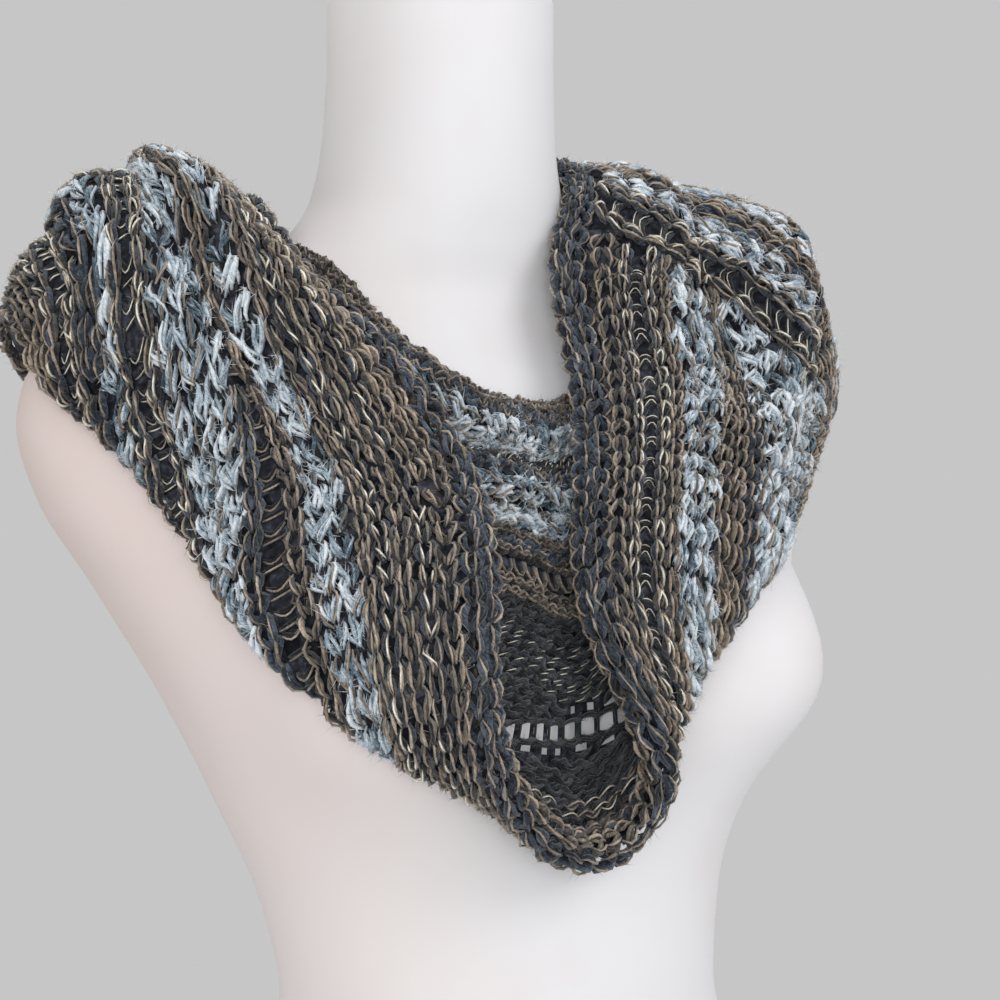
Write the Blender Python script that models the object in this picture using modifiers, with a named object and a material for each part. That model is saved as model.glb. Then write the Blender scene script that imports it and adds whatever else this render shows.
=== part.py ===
"""Infinity scarf worn once round the neck of a limbless dress form.

The scarf is one closed knitted strip. It lies doubled: an outer layer runs from its rolled edge,
over the shoulders, down to a fold, and an inner layer comes back under it, over the form, to the
rim at the neck. At the front the fold drops to a point, so the inner layer shows in a V.
Metres, +Z up, the front of the form towards -Y, the base of the form on Z = 0.
"""
import bpy
import bmesh
import numpy as np

# ---------------------------------------------------------------- driving sizes
STRIP_WIDTH = 0.265          # across the knitted strip, rolled edge to rim
WALL = 0.003                 # thickness of the knitted wall
SEAM_GAP = 0.0005            # between two pieces of the cloth that meet
INNER_CLEARANCE = 0.0030     # middle of the inner layer to the form that it rests on
EDGE_CLEARANCE = 0.009       # middle of the rolled edge to the form, where no layer lies under it
RIM_MARGIN = 0.012           # how far the rim must lie beyond and below a point for that
FOLD_RADIUS = 0.006          # half the distance between the layers at the fold
FULL_TURN = 0.052            # width of the outer layer from which the fold is that wide
LEAST_TURN = 0.35            # share of that radius where the outer layer is narrowest
FOLD_INSET = 0.0015          # outline of the worn scarf to the middle of the wall
ROLL_RADIUS = 0.0072         # of the rolled edge
ROLL_GAP = 0.0012            # from it to the pieces beside it, less where it is bent
ROLL_SIDES = 8
ROLL_STEPS = 130
SOFTENING = 26               # rounds of rounding a section's corners
LAYER_CLEARANCE = 0.0055     # between the middles of the layers where a fold is pressed in
INNER_ARCH = 0.6             # how far the inner layer is arched before it is laid on the form
LAY_LENGTH = 0.028           # way from the turn to where the inner layer lies on the form
CROWN_SHAPE = 2.6            # 2 is a parabola, more is flatter on top
FOLD_FADE = 0.6              # power with which a pressed fold fades in at its ends, 0 is at once
MOST_PUSH = 0.016            # longest step in which a point is moved off the form
FORM_STEPS = 40              # rings up the form
FORM_SIDES = 48              # points round a ring
SECTION_SAMPLES = 201        # points along a section before it is spaced evenly
LADDER_HOLES = 8             # dropped stitches, open through the inner layer above the point
LADDER_PITCH = 0.0125        # from one to the next, along the strip
LADDER_BAR = 0.0024          # yarn left standing between two of them
LADDER_SHARES = (0.215, 0.253)   # lower and upper end, as shares of the way from the turn to the rim
LADDER_PLACE = 0.019         # middle of the row, along the strip from the point of the V
LADDER_PEAK = 0.003          # where the row is highest, along the strip
LADDER_NEAR = 0.002          # no other line of the grid lies closer to a hole's end
LADDER_FALLS = (1.0, 20.0)   # how much that share falls from there, per metre and per square metre
LADDER_SPREAD = 0.2          # how far across the rows beside it lean with it
LADDER_CLEAR = 0.025         # no other row lies closer to it
LADDER_REACH = 0.066         # way over which it falls
LEAST_FLAP = 0.003           # width at the narrow ends of the flaps
POINT_REACH = 1.25           # section number at which the flaps start, on each side of the point
END_GAP = 0.0006             # between pieces end to end, half as much where the strip is gathered
SEAM_CELL = 0.003            # length of the short cells at a piece's ends
OUTER_ROWS = 13              # rows of points across the outer layer
INNER_ROWS = 16              # and across the inner one
INNER_SPACING = ((0, 0.32, 1), (0, 0.58, 1))   # shares of those rows, and of the width they reach
SEAM_ROW = 0.15              # share of a cell between an outer piece's last two rows
TURN_SHARES = (0, 0.06, 0.24, 0.41, 0.59, 0.76, 1)   # rows of points round the turn
TURN_MARGIN = 0.004          # straight cloth on each side of the turn, before the seam
# Stretches between the pieces' ends: first and last section, and cells along the strip.
SPANS = ((-6.5, -POINT_REACH, 20), (-POINT_REACH, POINT_REACH, 12), (POINT_REACH, 6.5, 20),
         (6.5, 8.5, 8), (8.5, 11.5, 12), (11.5, 13.5, 11))


# ---------------------------------------------------------------- the dress form
# A row for each ring: height, half the width, depth to the front and to the back of the ring's
# centre, how far the centre lies behind the axis, and the power of the ring's outline.
FORM_COLUMNS = ("height", "half_width", "front", "back", "centre", "power")
FORM_RINGS = (
    (0.0000, 0.1550, 0.1060, 0.1060, -0.006, 2.25),   # base
    (0.0300, 0.1660, 0.1100, 0.1140, -0.006, 2.25),   # hip
    (0.0700, 0.1640, 0.1080, 0.1130, -0.008, 2.25),
    (0.1200, 0.1460, 0.1000, 0.1000, -0.014, 2.20),
    (0.1700, 0.1190, 0.0880, 0.0820, -0.026, 2.20),
    (0.2150, 0.1050, 0.0800, 0.0730, -0.032, 2.20),   # waist
    (0.2550, 0.1110, 0.0820, 0.0800, -0.027, 2.20),
    (0.3000, 0.1270, 0.0890, 0.0930, -0.017, 2.25),   # under the bust
    (0.3500, 0.1480, 0.0950, 0.1070, -0.006, 2.35),
    (0.4000, 0.1750, 0.0940, 0.1170, 0.005, 2.40),
    (0.4400, 0.1980, 0.0880, 0.1160, 0.014, 2.35),
    (0.4700, 0.2060, 0.0780, 0.1080, 0.018, 2.30),    # widest, at the shoulders
    (0.4920, 0.2020, 0.0680, 0.0940, 0.022, 2.20),
    (0.5080, 0.1820, 0.0580, 0.0800, 0.026, 2.10),
    (0.5220, 0.1460, 0.0520, 0.0700, 0.028, 2.00),
    (0.5380, 0.1070, 0.0500, 0.0650, 0.029, 2.00),
    (0.5560, 0.0790, 0.0510, 0.0620, 0.028, 2.00),    # foot of the neck
    (0.5780, 0.0630, 0.0530, 0.0580, 0.027, 2.00),
    (0.6100, 0.0565, 0.0540, 0.0560, 0.026, 2.00),
    (0.6500, 0.0545, 0.0545, 0.0545, 0.025, 2.00),
    (0.6715, 0.0545, 0.0545, 0.0545, 0.025, 2.00),
    (0.6760, 0.0520, 0.0520, 0.0520, 0.025, 2.00),    # top of the neck
)
BUST_SPREAD = 0.090          # from the axis to the middle of each side of the bust
BUST_HEIGHT = 0.361
BUST_WIDTH = 0.053
BUST_RISE = 0.073            # fades out this far above its height
BUST_FALL = 0.054            # and this far below
BUST_DEPTH = 0.080
BUST_FACING = 1.5            # power with which it fades towards the sides
CAP_RADIUS = 0.0505
CAP_THICKNESS = 0.010
CAP_ROUND = 0.003

# ---------------------------------------------------------------- the strip on the form
# A row for each section across the strip, in millimetres, from the point of the V over the
# right shoulder, round the back, over the left shoulder and down again.
# edge: the rolled edge. fold: where the strip turns under. rim: the other edge, at the neck.
# crown: how high the outer layer arches over the line from edge to fold.
SECTION_COLUMNS = ("name", "edge", "fold", "rim", "crown")
SECTIONS = (
    ("point", (-6, -131, 295), (-6, -121, 291), (3, -68, 488), 0),
    ("right_a", (-53, -143, 317), (-56, -125, 315), (-14, -67, 490), 2),
    ("right_b", (-80, -157, 362), (-107, -133, 344), (-31, -62, 498), 5),
    ("right_c", (-75, -146, 405), (-136, -112, 371), (-48, -48, 511), 8),
    ("right_d", (-64, -111, 449), (-157, -72, 410), (-63, -32, 530), 12),
    ("right_e", (-80, -78, 494), (-177, -44, 452), (-77, -12, 548), 18),
    ("right_f", (-101, -42, 530), (-200, -18, 482), (-86, 6, 556), 32),
    ("right_g", (-107, -1, 560), (-212, 10, 502), (-88, 26, 556), 40),
    ("right_h", (-86, 56, 568), (-198, 70, 503), (-78, 52, 556), 36),
    ("back_right", (-60, 100, 556), (-128, 136, 448), (-52, 86, 552), 22),
    ("back", (2, 112, 566), (0, 144, 412), (0, 100, 548), 14),
    ("back_left", (56, 86, 586), (134, 136, 448), (52, 84, 552), 24),
    ("left_h", (67, 35, 597), (212, 56, 502), (80, 52, 556), 36),
    ("left_g", (59, -9, 580), (214, 0, 496), (86, 22, 556), 40),
    ("left_f", (39, -29, 554), (196, -30, 482), (76, -8, 548), 40),
    ("left_e", (28, -56, 511), (172, -48, 460), (58, -34, 526), 32),
    ("left_d", (12, -93, 467), (134, -80, 434), (42, -52, 507), 22),
    ("left_c", (-1, -112, 427), (84, -121, 403), (30, -60, 497), 12),
    ("left_b", (-3, -127, 386), (44, -130, 366), (20, -64, 492), 6),
    ("left_a", (17, -136, 324), (27, -125, 322), (12, -67, 489), 2),
)
# A row for each fold pressed into the strip. across: place across the strip as a share of its
# width, at the fold's first and last section. height and width in millimetres.
FOLD_COLUMNS = ("name", "first", "last", "across_first", "across_last", "width", "height")
FOLDS = (
    ("upper_swag", -1.2, 4.8, 0.93, 0.93, 11, 10),
    ("upper_valley", -1.2, 4.0, 0.865, 0.865, 7, -5),
    ("lower_swag", -1.2, 3.6, 0.78, 0.78, 12, 10),
    ("lower_valley", -1.2, 3.6, 0.71, 0.71, 8, -5),
    ("right_ridge_inner", 4.6, 9.4, 0.11, 0.13, 16, 13),
    ("right_valley_inner", 4.2, 9.4, 0.21, 0.21, 9, -8),
    ("right_ridge_middle", 4.0, 9.0, 0.28, 0.28, 12, 2),
    ("right_valley_outer", 4.2, 9.0, 0.36, 0.36, 9, -8),
    ("left_pleat", 11.8, 15.8, 0.18, 0.24, 15, -13),
    ("left_ridge", 11.4, 16.4, 0.35, 0.36, 16, 9),
    ("left_tuck", 13.6, 16.3, 0.45, 0.41, 9, -9),
    ("back_swag_upper", 8.4, 11.8, 0.20, 0.22, 17, 9),
    ("back_valley", 8.6, 11.6, 0.33, 0.34, 12, -5),
    ("back_swag_lower", 8.2, 12.0, 0.46, 0.48, 18, 10),
)


def named(table, columns, column):
    """One named column of a table."""
    return [row[columns.index(column)] for row in table]


def smooth_through(knots, values, at):
    """Values at new places, on the monotone cubic curve through the knots (Fritsch-Carlson)."""
    steps = np.diff(knots)
    slopes = np.diff(values) / steps
    tangents = np.zeros(len(knots))
    same_way = slopes[:-1] * slopes[1:] > 0
    weight_a = 2 * steps[1:] + steps[:-1]
    weight_b = steps[1:] + 2 * steps[:-1]
    with np.errstate(divide="ignore", invalid="ignore"):
        mean = (weight_a + weight_b) / (weight_a / slopes[:-1] + weight_b / slopes[1:])
    tangents[1:-1] = np.where(same_way, mean, 0.0)
    tangents[0] = slopes[0]
    tangents[-1] = slopes[-1]
    at = np.clip(at, knots[0], knots[-1])
    cell = np.clip(np.searchsorted(knots, at, side="right") - 1, 0, len(steps) - 1)
    share = (at - knots[cell]) / steps[cell]
    rest = 1 - share
    return (values[cell] * rest * rest * (1 + 2 * share) + values[cell + 1] * share * share * (3 - 2 * share)
            + steps[cell] * share * rest * (tangents[cell] * rest - tangents[cell + 1] * share))


def loop_through(knots, length, values, at):
    """Values at new places on the smoothest closed cubic curve through the knots.

    The curve's second derivatives follow from one equation at each knot, so that its slope is
    the same on both sides of it. length is the whole way round.
    """
    count = len(knots)
    steps = np.diff(np.append(knots, knots[0] + length))
    values = np.asarray(values, float).reshape(count, -1)
    matrix = np.zeros((count, count))
    sides = np.zeros_like(values)
    for here in range(count):
        before, after = (here - 1) % count, (here + 1) % count
        matrix[here, before] += steps[before] / 6
        matrix[here, here] += (steps[before] + steps[here]) / 3
        matrix[here, after] += steps[here] / 6
        sides[here] = ((values[after] - values[here]) / steps[here]
                       - (values[here] - values[before]) / steps[before])
    bend = np.linalg.solve(matrix, sides)
    at = np.mod(np.asarray(at, float) - knots[0], length) + knots[0]
    cell = np.clip(np.searchsorted(knots, at, side="right") - 1, 0, count - 1)
    following = (cell + 1) % count
    step = steps[cell][..., None]
    share = ((at - knots[cell]) / steps[cell])[..., None]
    rest = 1 - share
    return (values[cell] * rest + values[following] * share
            + step * step / 6 * ((rest ** 3 - rest) * bend[cell] + (share ** 3 - share) * bend[following]))


def form_column(column, height):
    """A size of the form's ring at each height."""
    knots = np.array(named(FORM_RINGS, FORM_COLUMNS, "height"))
    values = np.array(named(FORM_RINGS, FORM_COLUMNS, column))
    return smooth_through(knots, values, height)


def form_radius(angle, height):
    """Distance from a ring's centre to its outline: a superellipse, and the bust's two mounds."""
    power = form_column("power", height)
    depth = np.where(np.sin(angle) < 0, form_column("front", height), form_column("back", height))
    across = np.abs(np.cos(angle)) / form_column("half_width", height)
    along = np.abs(np.sin(angle)) / depth
    radius = (across ** power + along ** power) ** (-1 / power)
    fade = np.where(height > BUST_HEIGHT, BUST_RISE, BUST_FALL)
    beside = radius * np.cos(angle)
    mound = (np.exp(-((beside - BUST_SPREAD) / BUST_WIDTH) ** 2)
             + np.exp(-((beside + BUST_SPREAD) / BUST_WIDTH) ** 2))
    mound = mound * np.exp(-((height - BUST_HEIGHT) / fade) ** 2)
    return radius + BUST_DEPTH * mound * np.clip(-np.sin(angle), 0, 1) ** BUST_FACING


def form_level(points):
    """0 on the form, positive outside: a point's distance over the ring's radius, less 1."""
    height = points[..., 2]
    beside = points[..., 0]
    behind = points[..., 1] - form_column("centre", height)
    return np.hypot(beside, behind) / form_radius(np.arctan2(behind, beside), height) - 1


def form_distance(points):
    """Distance to the form and the direction away from it: the level over its gradient."""
    small = 1e-4
    gradient = np.stack([(form_level(points + step) - form_level(points - step)) / (2 * small)
                         for step in np.eye(3) * small], -1)
    size = np.linalg.norm(gradient, axis=-1)
    return form_level(points) / size, gradient / size[..., None]


def clear_of_form(points, clearance):
    """Moves the points that lie closer to the form than the clearance out to it."""
    for _ in range(8):
        distance, away = form_distance(points)
        push = np.clip(clearance - distance, 0, MOST_PUSH)
        points = points + away * push[..., None]
    return points


def laid_on_form(points, start, share, span):
    """Brings a layer's points to the form: each to the clearance, or as far off as its start lies.

    The distance wanted falls from the start's own to the clearance, over LAY_LENGTH.
    """
    off_start = np.maximum(form_distance(start)[0] - INNER_CLEARANCE, 0)
    wanted = INNER_CLEARANCE + off_start * np.exp(-(share * span / LAY_LENGTH) ** 2)
    for _ in range(6):
        distance, away = form_distance(points)
        points = points + away * np.clip(wanted - distance, -MOST_PUSH, MOST_PUSH)[..., None]
    return points


def unit(vectors):
    """The vectors at length 1."""
    return vectors / np.maximum(np.linalg.norm(vectors, axis=-1, keepdims=True), 1e-9)


def section_knots():
    """Place of each section along the strip: the mean of the way along its edge and its fold."""
    edge = np.array(named(SECTIONS, SECTION_COLUMNS, "edge")) / 1000
    fold = np.array(named(SECTIONS, SECTION_COLUMNS, "fold")) / 1000
    steps = (np.linalg.norm(np.roll(edge, -1, 0) - edge, axis=1)
             + np.linalg.norm(np.roll(fold, -1, 0) - fold, axis=1)) / 2
    return np.concatenate([[0], np.cumsum(steps)[:-1]]), np.sum(steps)


def place_of(section):
    """Place along the strip of a section number, which may lie between two rows or below 0."""
    knots, length = section_knots()
    numbers = np.arange(-len(knots), 2 * len(knots))
    places = np.concatenate([knots - length, knots, knots + length])
    return np.interp(section, numbers, places)


def turn_radius(reach):
    """Radius of the fold where the outer layer has this width."""
    return FOLD_RADIUS * np.clip(reach / FULL_TURN, LEAST_TURN, 1)


def raw_sections(places):
    """Points of the sections at the given places, outer layer, fold and inner layer in turn.

    The outer layer is the line from edge to fold with an arch over it, the fold is half a
    circle, and the inner layer runs from there to the rim, each kept clear of the form.
    """
    knots, length = section_knots()
    edge, fold, rim = (loop_through(knots, length, np.array(named(SECTIONS, SECTION_COLUMNS, name)) / 1000,
                                    places)[:, None, :] for name in ("edge", "fold", "rim"))
    crown = loop_through(knots, length, np.array(named(SECTIONS, SECTION_COLUMNS, "crown")) / 1000, places)
    crown = np.maximum(crown, 0)[:, None, :]
    reach = np.linalg.norm(fold - edge, axis=-1, keepdims=True)
    radius = turn_radius(reach)
    _, away = form_distance(fold)
    outward = unit((fold - edge) - np.sum((fold - edge) * away, -1, keepdims=True) * away)
    fold = clear_of_form(fold - (radius + FOLD_INSET) * outward, INNER_CLEARANCE + radius[..., 0])
    _, away = form_distance(fold)
    outward = unit(outward - np.sum(outward * away, -1, keepdims=True) * away)

    share = np.linspace(0, 1, SECTION_SAMPLES)[None, :, None]
    line = edge + (fold + radius * away - edge) * share
    _, lift = form_distance(edge + (fold - edge) * np.clip(share, 0.25, 0.75))
    outer = line + lift * crown * (1 - np.abs(2 * share - 1) ** CROWN_SHAPE)
    layer_gap = INNER_CLEARANCE + 2 * radius[..., 0]
    beyond = np.sum((rim - edge) * unit(fold - edge), -1)
    alone = (np.clip((edge - rim)[..., 2] / RIM_MARGIN, 0, 1)
             * np.clip((beyond - share[..., 0] * reach[..., 0]) / RIM_MARGIN - 1, 0, 1))
    outer = clear_of_form(outer, layer_gap + (EDGE_CLEARANCE - layer_gap) * alone)

    turn = np.linspace(0, np.pi, 15)[None, 1:-1, None]
    bend = fold + radius * (np.cos(turn) * away + np.sin(turn) * outward)
    bend = clear_of_form(bend, INNER_CLEARANCE)
    start = fold - radius * away
    chord = rim - start
    span = np.linalg.norm(chord, axis=-1, keepdims=True)
    inner = start + chord * share + lift * INNER_ARCH * span * share * (1 - share)
    inner = laid_on_form(inner, start, share[..., 0], span[..., 0])
    return outer, bend, inner


def section_way(points):
    """Way along each row of points, from 0."""
    steps = np.linalg.norm(np.diff(points, axis=1), axis=-1)
    return np.concatenate([np.zeros((len(points), 1)), np.cumsum(steps, 1)], 1)


def spaced(points, shares):
    """Points at shares of the way along each row of points."""
    way = section_way(points)
    out = np.empty(shares.shape + (3,))
    for row in range(len(points)):
        for axis in range(3):
            out[row, :, axis] = np.interp(shares[row] * way[row, -1], way[row], points[row, :, axis])
    return out


def softened(points):
    """Evenly spaced points with their corners rounded: each moves towards its neighbours' middle."""
    points = spaced(points, np.tile(np.linspace(0, 1, SECTION_SAMPLES), (len(points), 1)))
    for _ in range(SOFTENING):
        middle = (points[:, :-2] + points[:, 2:]) / 2
        points[:, 1:-1] += (middle - points[:, 1:-1]) / 2
    return points


def measured(places):
    """The softened sections at the places, their lengths and the share at which each turns."""
    outer, bend, inner = raw_sections(places)
    over = section_way(outer)[:, -1] + section_way(bend)[:, -1] / 2
    share = over / section_way(np.concatenate([outer, bend, inner], 1))[:, -1]
    points = softened(np.concatenate([outer, bend, inner], 1))
    return points, section_way(points)[:, -1], share


def pressed(points, places, across, fold):
    """Adds the folds of the table: ridges along the strip, each a bell across it.

    The outer layer stays clear of the inner one, and that one of the form.
    """
    _, length = section_knots()
    lift = np.zeros(across.shape)
    for _, first, last, across_first, across_last, width, height in FOLDS:
        start, end = place_of(first), place_of(last)
        position = np.mod(places - start, length)
        run = np.clip(position / (end - start), 0, 1)
        fade = np.sin(np.pi * run) ** FOLD_FADE * (position < end - start)
        middle = across_first + (across_last - across_first) * run
        bell = np.exp(-((across - middle[:, None]) * STRIP_WIDTH / (width / 1000)) ** 2)
        lift += height / 1000 * fade[:, None] * bell
    _, away = form_distance(points)
    before = (fold[:, None] - across) * STRIP_WIDTH / (2 * FOLD_RADIUS)
    clearance = INNER_CLEARANCE + LAYER_CLEARANCE * np.clip(before, 0, 1)
    moved = clear_of_form(points + away * lift[..., None], INNER_CLEARANCE)
    pushed_in = (lift < 0)[..., None]
    return np.where(pushed_in, clear_of_form(moved, clearance), moved)


def strip_points(places, across):
    """Points of the strip: places along it, and for each place a row of shares of its width."""
    points, _, fold = measured(places)
    return pressed(spaced(points, across), places, across, fold)


# ---------------------------------------------------------------- meshes and objects
def clear_scene():
    """Empties the file of objects."""
    for item in list(bpy.data.objects):
        bpy.data.objects.remove(item, do_unlink=True)


def new_collection(name):
    """A collection linked to the scene."""
    collection = bpy.data.collections.new(name)
    bpy.context.scene.collection.children.link(collection)
    return collection


def make_material(name, color, roughness):
    """A plain Principled BSDF material."""
    material = bpy.data.materials.new(name)
    material.use_nodes = True
    shader = material.node_tree.nodes["Principled BSDF"]
    shader.inputs["Base Color"].default_value = (*color, 1)
    shader.inputs["Roughness"].default_value = roughness
    shader.inputs["Metallic"].default_value = 0.0
    return material


def add_object(name, mesh, material, collection):
    """A named object for a mesh, shaded smooth."""
    mesh.materials.append(material)
    mesh.shade_smooth()
    item = bpy.data.objects.new(name, mesh)
    collection.objects.link(item)
    return item


def grid_faces(rows, columns, closed_rows=False, closed_columns=False):
    """Quads of a grid of points, row by row."""
    faces = []
    for row in range(rows if closed_rows else rows - 1):
        for column in range(columns if closed_columns else columns - 1):
            below = row * columns
            above = (row + 1) % rows * columns
            beside = (column + 1) % columns
            faces.append((below + column, below + beside, above + beside, above + column))
    return faces


def ring_mesh(name, points, close_ends):
    """A skin over rings of points, with a flat face on each end or closed on itself."""
    rings, sides = points.shape[:2]
    faces = grid_faces(rings, sides, closed_rows=not close_ends, closed_columns=True)
    if close_ends:
        faces.append(tuple(reversed(range(sides))))
        faces.append(tuple((rings - 1) * sides + side for side in range(sides)))
    mesh = bpy.data.meshes.new(name)
    mesh.from_pydata(points.reshape(-1, 3).tolist(), [], faces)
    return mesh


def build_form(collection):
    """The limbless form: rings of the table's outline, closer together at the shoulders."""
    heights = np.array(named(FORM_RINGS, FORM_COLUMNS, "height"))
    height = np.interp(np.linspace(0, 1, FORM_STEPS), np.linspace(0, 1, len(heights)), heights)
    angle = np.linspace(0, 2 * np.pi, FORM_SIDES, endpoint=False)
    height, angle = np.meshgrid(height, angle, indexing="ij")
    radius = form_radius(angle, height)
    points = np.stack([radius * np.cos(angle),
                       form_column("centre", height) + radius * np.sin(angle), height], -1)
    material = make_material("form_plastic", (0.80, 0.76, 0.74), 0.38)
    return add_object("dress_form", ring_mesh("dress_form", points, True), material, collection)


def build_cap(collection):
    """The cap on the neck: a rounded disc turned about the neck's axis."""
    top = FORM_RINGS[-1][0] + SEAM_GAP
    centre = FORM_RINGS[-1][FORM_COLUMNS.index("centre")]
    profile = [(0, CAP_THICKNESS)]
    for step in range(5):
        turn = np.pi / 2 * step / 4
        profile.append((CAP_RADIUS - CAP_ROUND + CAP_ROUND * np.sin(turn),
                        CAP_THICKNESS - CAP_ROUND + CAP_ROUND * np.cos(turn)))
    profile += [(CAP_RADIUS, 0), (0, 0)]
    angle = np.linspace(0, 2 * np.pi, 32, endpoint=False)
    mesh = bpy.data.meshes.new("neck_cap")
    shape = bmesh.new()
    rows = [[shape.verts.new((out * np.cos(turn), centre + out * np.sin(turn), top + up))
             for turn in (angle if out else angle[:1])] for out, up in reversed(profile)]
    for lower, upper in zip(rows, rows[1:]):
        for side in range(len(angle)):
            corners = [lower[side % len(lower)], lower[(side + 1) % len(lower)],
                       upper[(side + 1) % len(upper)], upper[side % len(upper)]]
            shape.faces.new(dict.fromkeys(corners))
    shape.to_mesh(mesh)
    shape.free()
    mesh.set_sharp_from_angle(angle=np.radians(50))
    return add_object("neck_cap", mesh, make_material("cap_plastic", (0.86, 0.87, 0.88), 0.30), collection)


def build_roll(collection, material):
    """The rolled edge: a round section carried along the edge of the strip."""
    places = np.linspace(0, section_knots()[1], ROLL_STEPS, endpoint=False)
    edge = roll_line(ROLL_STEPS)
    into = unit(strip_points(places, np.full((ROLL_STEPS, 1), 0.03))[:, 0] - edge)
    along = unit(np.roll(edge, -1, 0) - np.roll(edge, 1, 0))
    into = unit(into - np.sum(into * along, 1, keepdims=True) * along)
    side = np.cross(along, into)
    turn = np.linspace(0, 2 * np.pi, ROLL_SIDES, endpoint=False)[None, :, None]
    points = edge[:, None] + ROLL_RADIUS * (np.cos(turn) * into[:, None] + np.sin(turn) * side[:, None])
    return add_object("rolled_edge", ring_mesh("rolled_edge", points, False), material, collection)


def stations(first, last):
    """Places of the grid's lines between two sections, the same for every piece that has them.

    Along the row of dropped stitches they are the two ends of each hole.
    """
    lines = []
    for start, end, cells in SPANS:
        if start >= first and end <= last:
            span = np.linspace(place_of(start), place_of(end), cells + 1)
            lines += [span, [span[0] + SEAM_CELL, span[-1] - SEAM_CELL]]
    places = np.unique(np.round(np.concatenate(lines), 7))
    holes = ladder_holes()
    beside = np.min(np.abs(places[:, None] - holes.ravel()), 1)
    ends = np.isin(places, places[[0, -1]])
    places = places[(beside > LADDER_NEAR) & ((places < holes.min()) | (places > holes.max())) | ends]
    inside = holes.ravel()[(holes.ravel() > places[0] + 0.002) & (holes.ravel() < places[-1] - 0.002)]
    places = np.sort(np.concatenate([places, inside]))
    places[0] += END_GAP / 2
    places[-1] -= END_GAP / 2
    return places


def ladder_holes():
    """Places of both ends of each dropped stitch along the strip."""
    middle = LADDER_PLACE + (np.arange(LADDER_HOLES) - (LADDER_HOLES - 1) / 2) * LADDER_PITCH
    half = (LADDER_PITCH - LADDER_BAR) / 2
    return np.stack([middle - half, middle + half], 1)


def roll_line(count):
    """Points along the middle of the rolled edge."""
    places = np.linspace(0, section_knots()[1], count, endpoint=False)
    return strip_points(places, np.zeros((count, 1)))[:, 0]


def clear_of_roll(places, length):
    """Share of the width at which each section is clear of the rolled edge, from all of it."""
    line = roll_line(4 * ROLL_STEPS)
    wanted = ROLL_RADIUS + ROLL_GAP
    share = wanted / length
    for _ in range(2):
        points = strip_points(places, share[:, None])
        share = share * wanted / np.min(np.linalg.norm(points - line, axis=2), axis=1)
    return share


def turn_rows(places):
    """Shares of the width: the rolled edge's end, both ends of the turn, and the seam's gap.

    At the point of the V there is no outer piece, so the turn's starts at the rolled edge.
    """
    _, length, fold = measured(places)
    edge = clear_of_roll(places, length)
    reach = (np.pi / 2 * turn_radius(fold * length) + TURN_MARGIN) / length
    at_point = ((places > place_of(-POINT_REACH) + SEAM_CELL / 2)
                & (places < place_of(POINT_REACH) - SEAM_CELL / 2))
    seam = np.where(at_point, edge, np.maximum(fold - reach, edge + LEAST_FLAP / length))
    return (value[:, None] for value in (edge, seam, fold + reach,
                                         edge * SEAM_GAP / (ROLL_RADIUS + ROLL_GAP)))


def outer_rows(places, rows):
    """Shares of the width for a piece of the outer layer: from the rolled edge to the turn."""
    edge, seam, _, gap = turn_rows(places)
    shares = np.append(np.linspace(0, 1, rows), 1 - SEAM_ROW / (rows - 1))
    return edge + (seam - gap - edge) * np.sort(shares)


def inner_rows(places, rows):
    """Shares of the width for a piece of the inner layer: round the turn, and on to the rim.

    Two of the rows are the ladder's, and the rows beside them move along with them.
    """
    _, seam, after, _ = turn_rows(places)
    turn = seam + (after - seam) * np.array(TURN_SHARES)[:-1]
    flat = np.interp(np.linspace(0, 1, rows), *INNER_SPACING)
    flat = np.sort(np.concatenate([flat[np.min(np.abs(flat[:, None] - LADDER_SHARES), 1) > LADDER_CLEAR],
                                   LADDER_SHARES]))
    along = np.abs(places - LADDER_PEAK)
    fallen = np.minimum(along, LADDER_REACH)
    lean = -(LADDER_FALLS[0] * fallen + LADDER_FALLS[1] * fallen ** 2)
    lean = lean * np.clip(2 - along / LADDER_REACH, 0, 1)
    shift = lean[:, None] * np.clip(1 - np.abs(flat - np.mean(LADDER_SHARES)) / LADDER_SPREAD, 0, 1)
    return np.concatenate([turn, after + (1 - after) * (flat + shift)], 1), flat


def build_panel(name, collection, material, first, last, rows, layer):
    """A stretch of one layer of the strip: an open surface with a wall given to it."""
    places = stations(first, last)
    if layer == "outer":
        across = outer_rows(places, rows)
        faces = grid_faces(len(places), across.shape[1])
    else:
        across, flat = inner_rows(places, rows)
        faces = grid_faces(len(places), across.shape[1])
        faces = without_holes(faces, places, across.shape[1], flat)
    points = strip_points(places, across)
    mesh = bpy.data.meshes.new(name)
    mesh.from_pydata(points.reshape(-1, 3).tolist(), [], faces)
    item = add_object(name, mesh, material, collection)
    wall = item.modifiers.new("wall", "SOLIDIFY")
    wall.thickness = WALL
    wall.offset = 0
    wall.use_even_offset = True
    return item


def without_holes(faces, places, rows, flat):
    """The faces of an inner piece's grid, less those in the dropped stitches."""
    step = np.repeat(np.arange(len(places) - 1), rows - 1)
    row = np.tile(np.arange(rows - 1), len(places) - 1)
    middle = (places[step] + places[step + 1]) / 2
    holes = ladder_holes()
    in_hole = np.any((middle[:, None] > holes[:, 0]) & (middle[:, None] < holes[:, 1]), 1)
    ladder_row = rows - len(flat) + np.searchsorted(flat, LADDER_SHARES[0])
    is_open = in_hole & (row == ladder_row)
    return [face for face, hole in zip(faces, is_open) if not hole]


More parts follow.
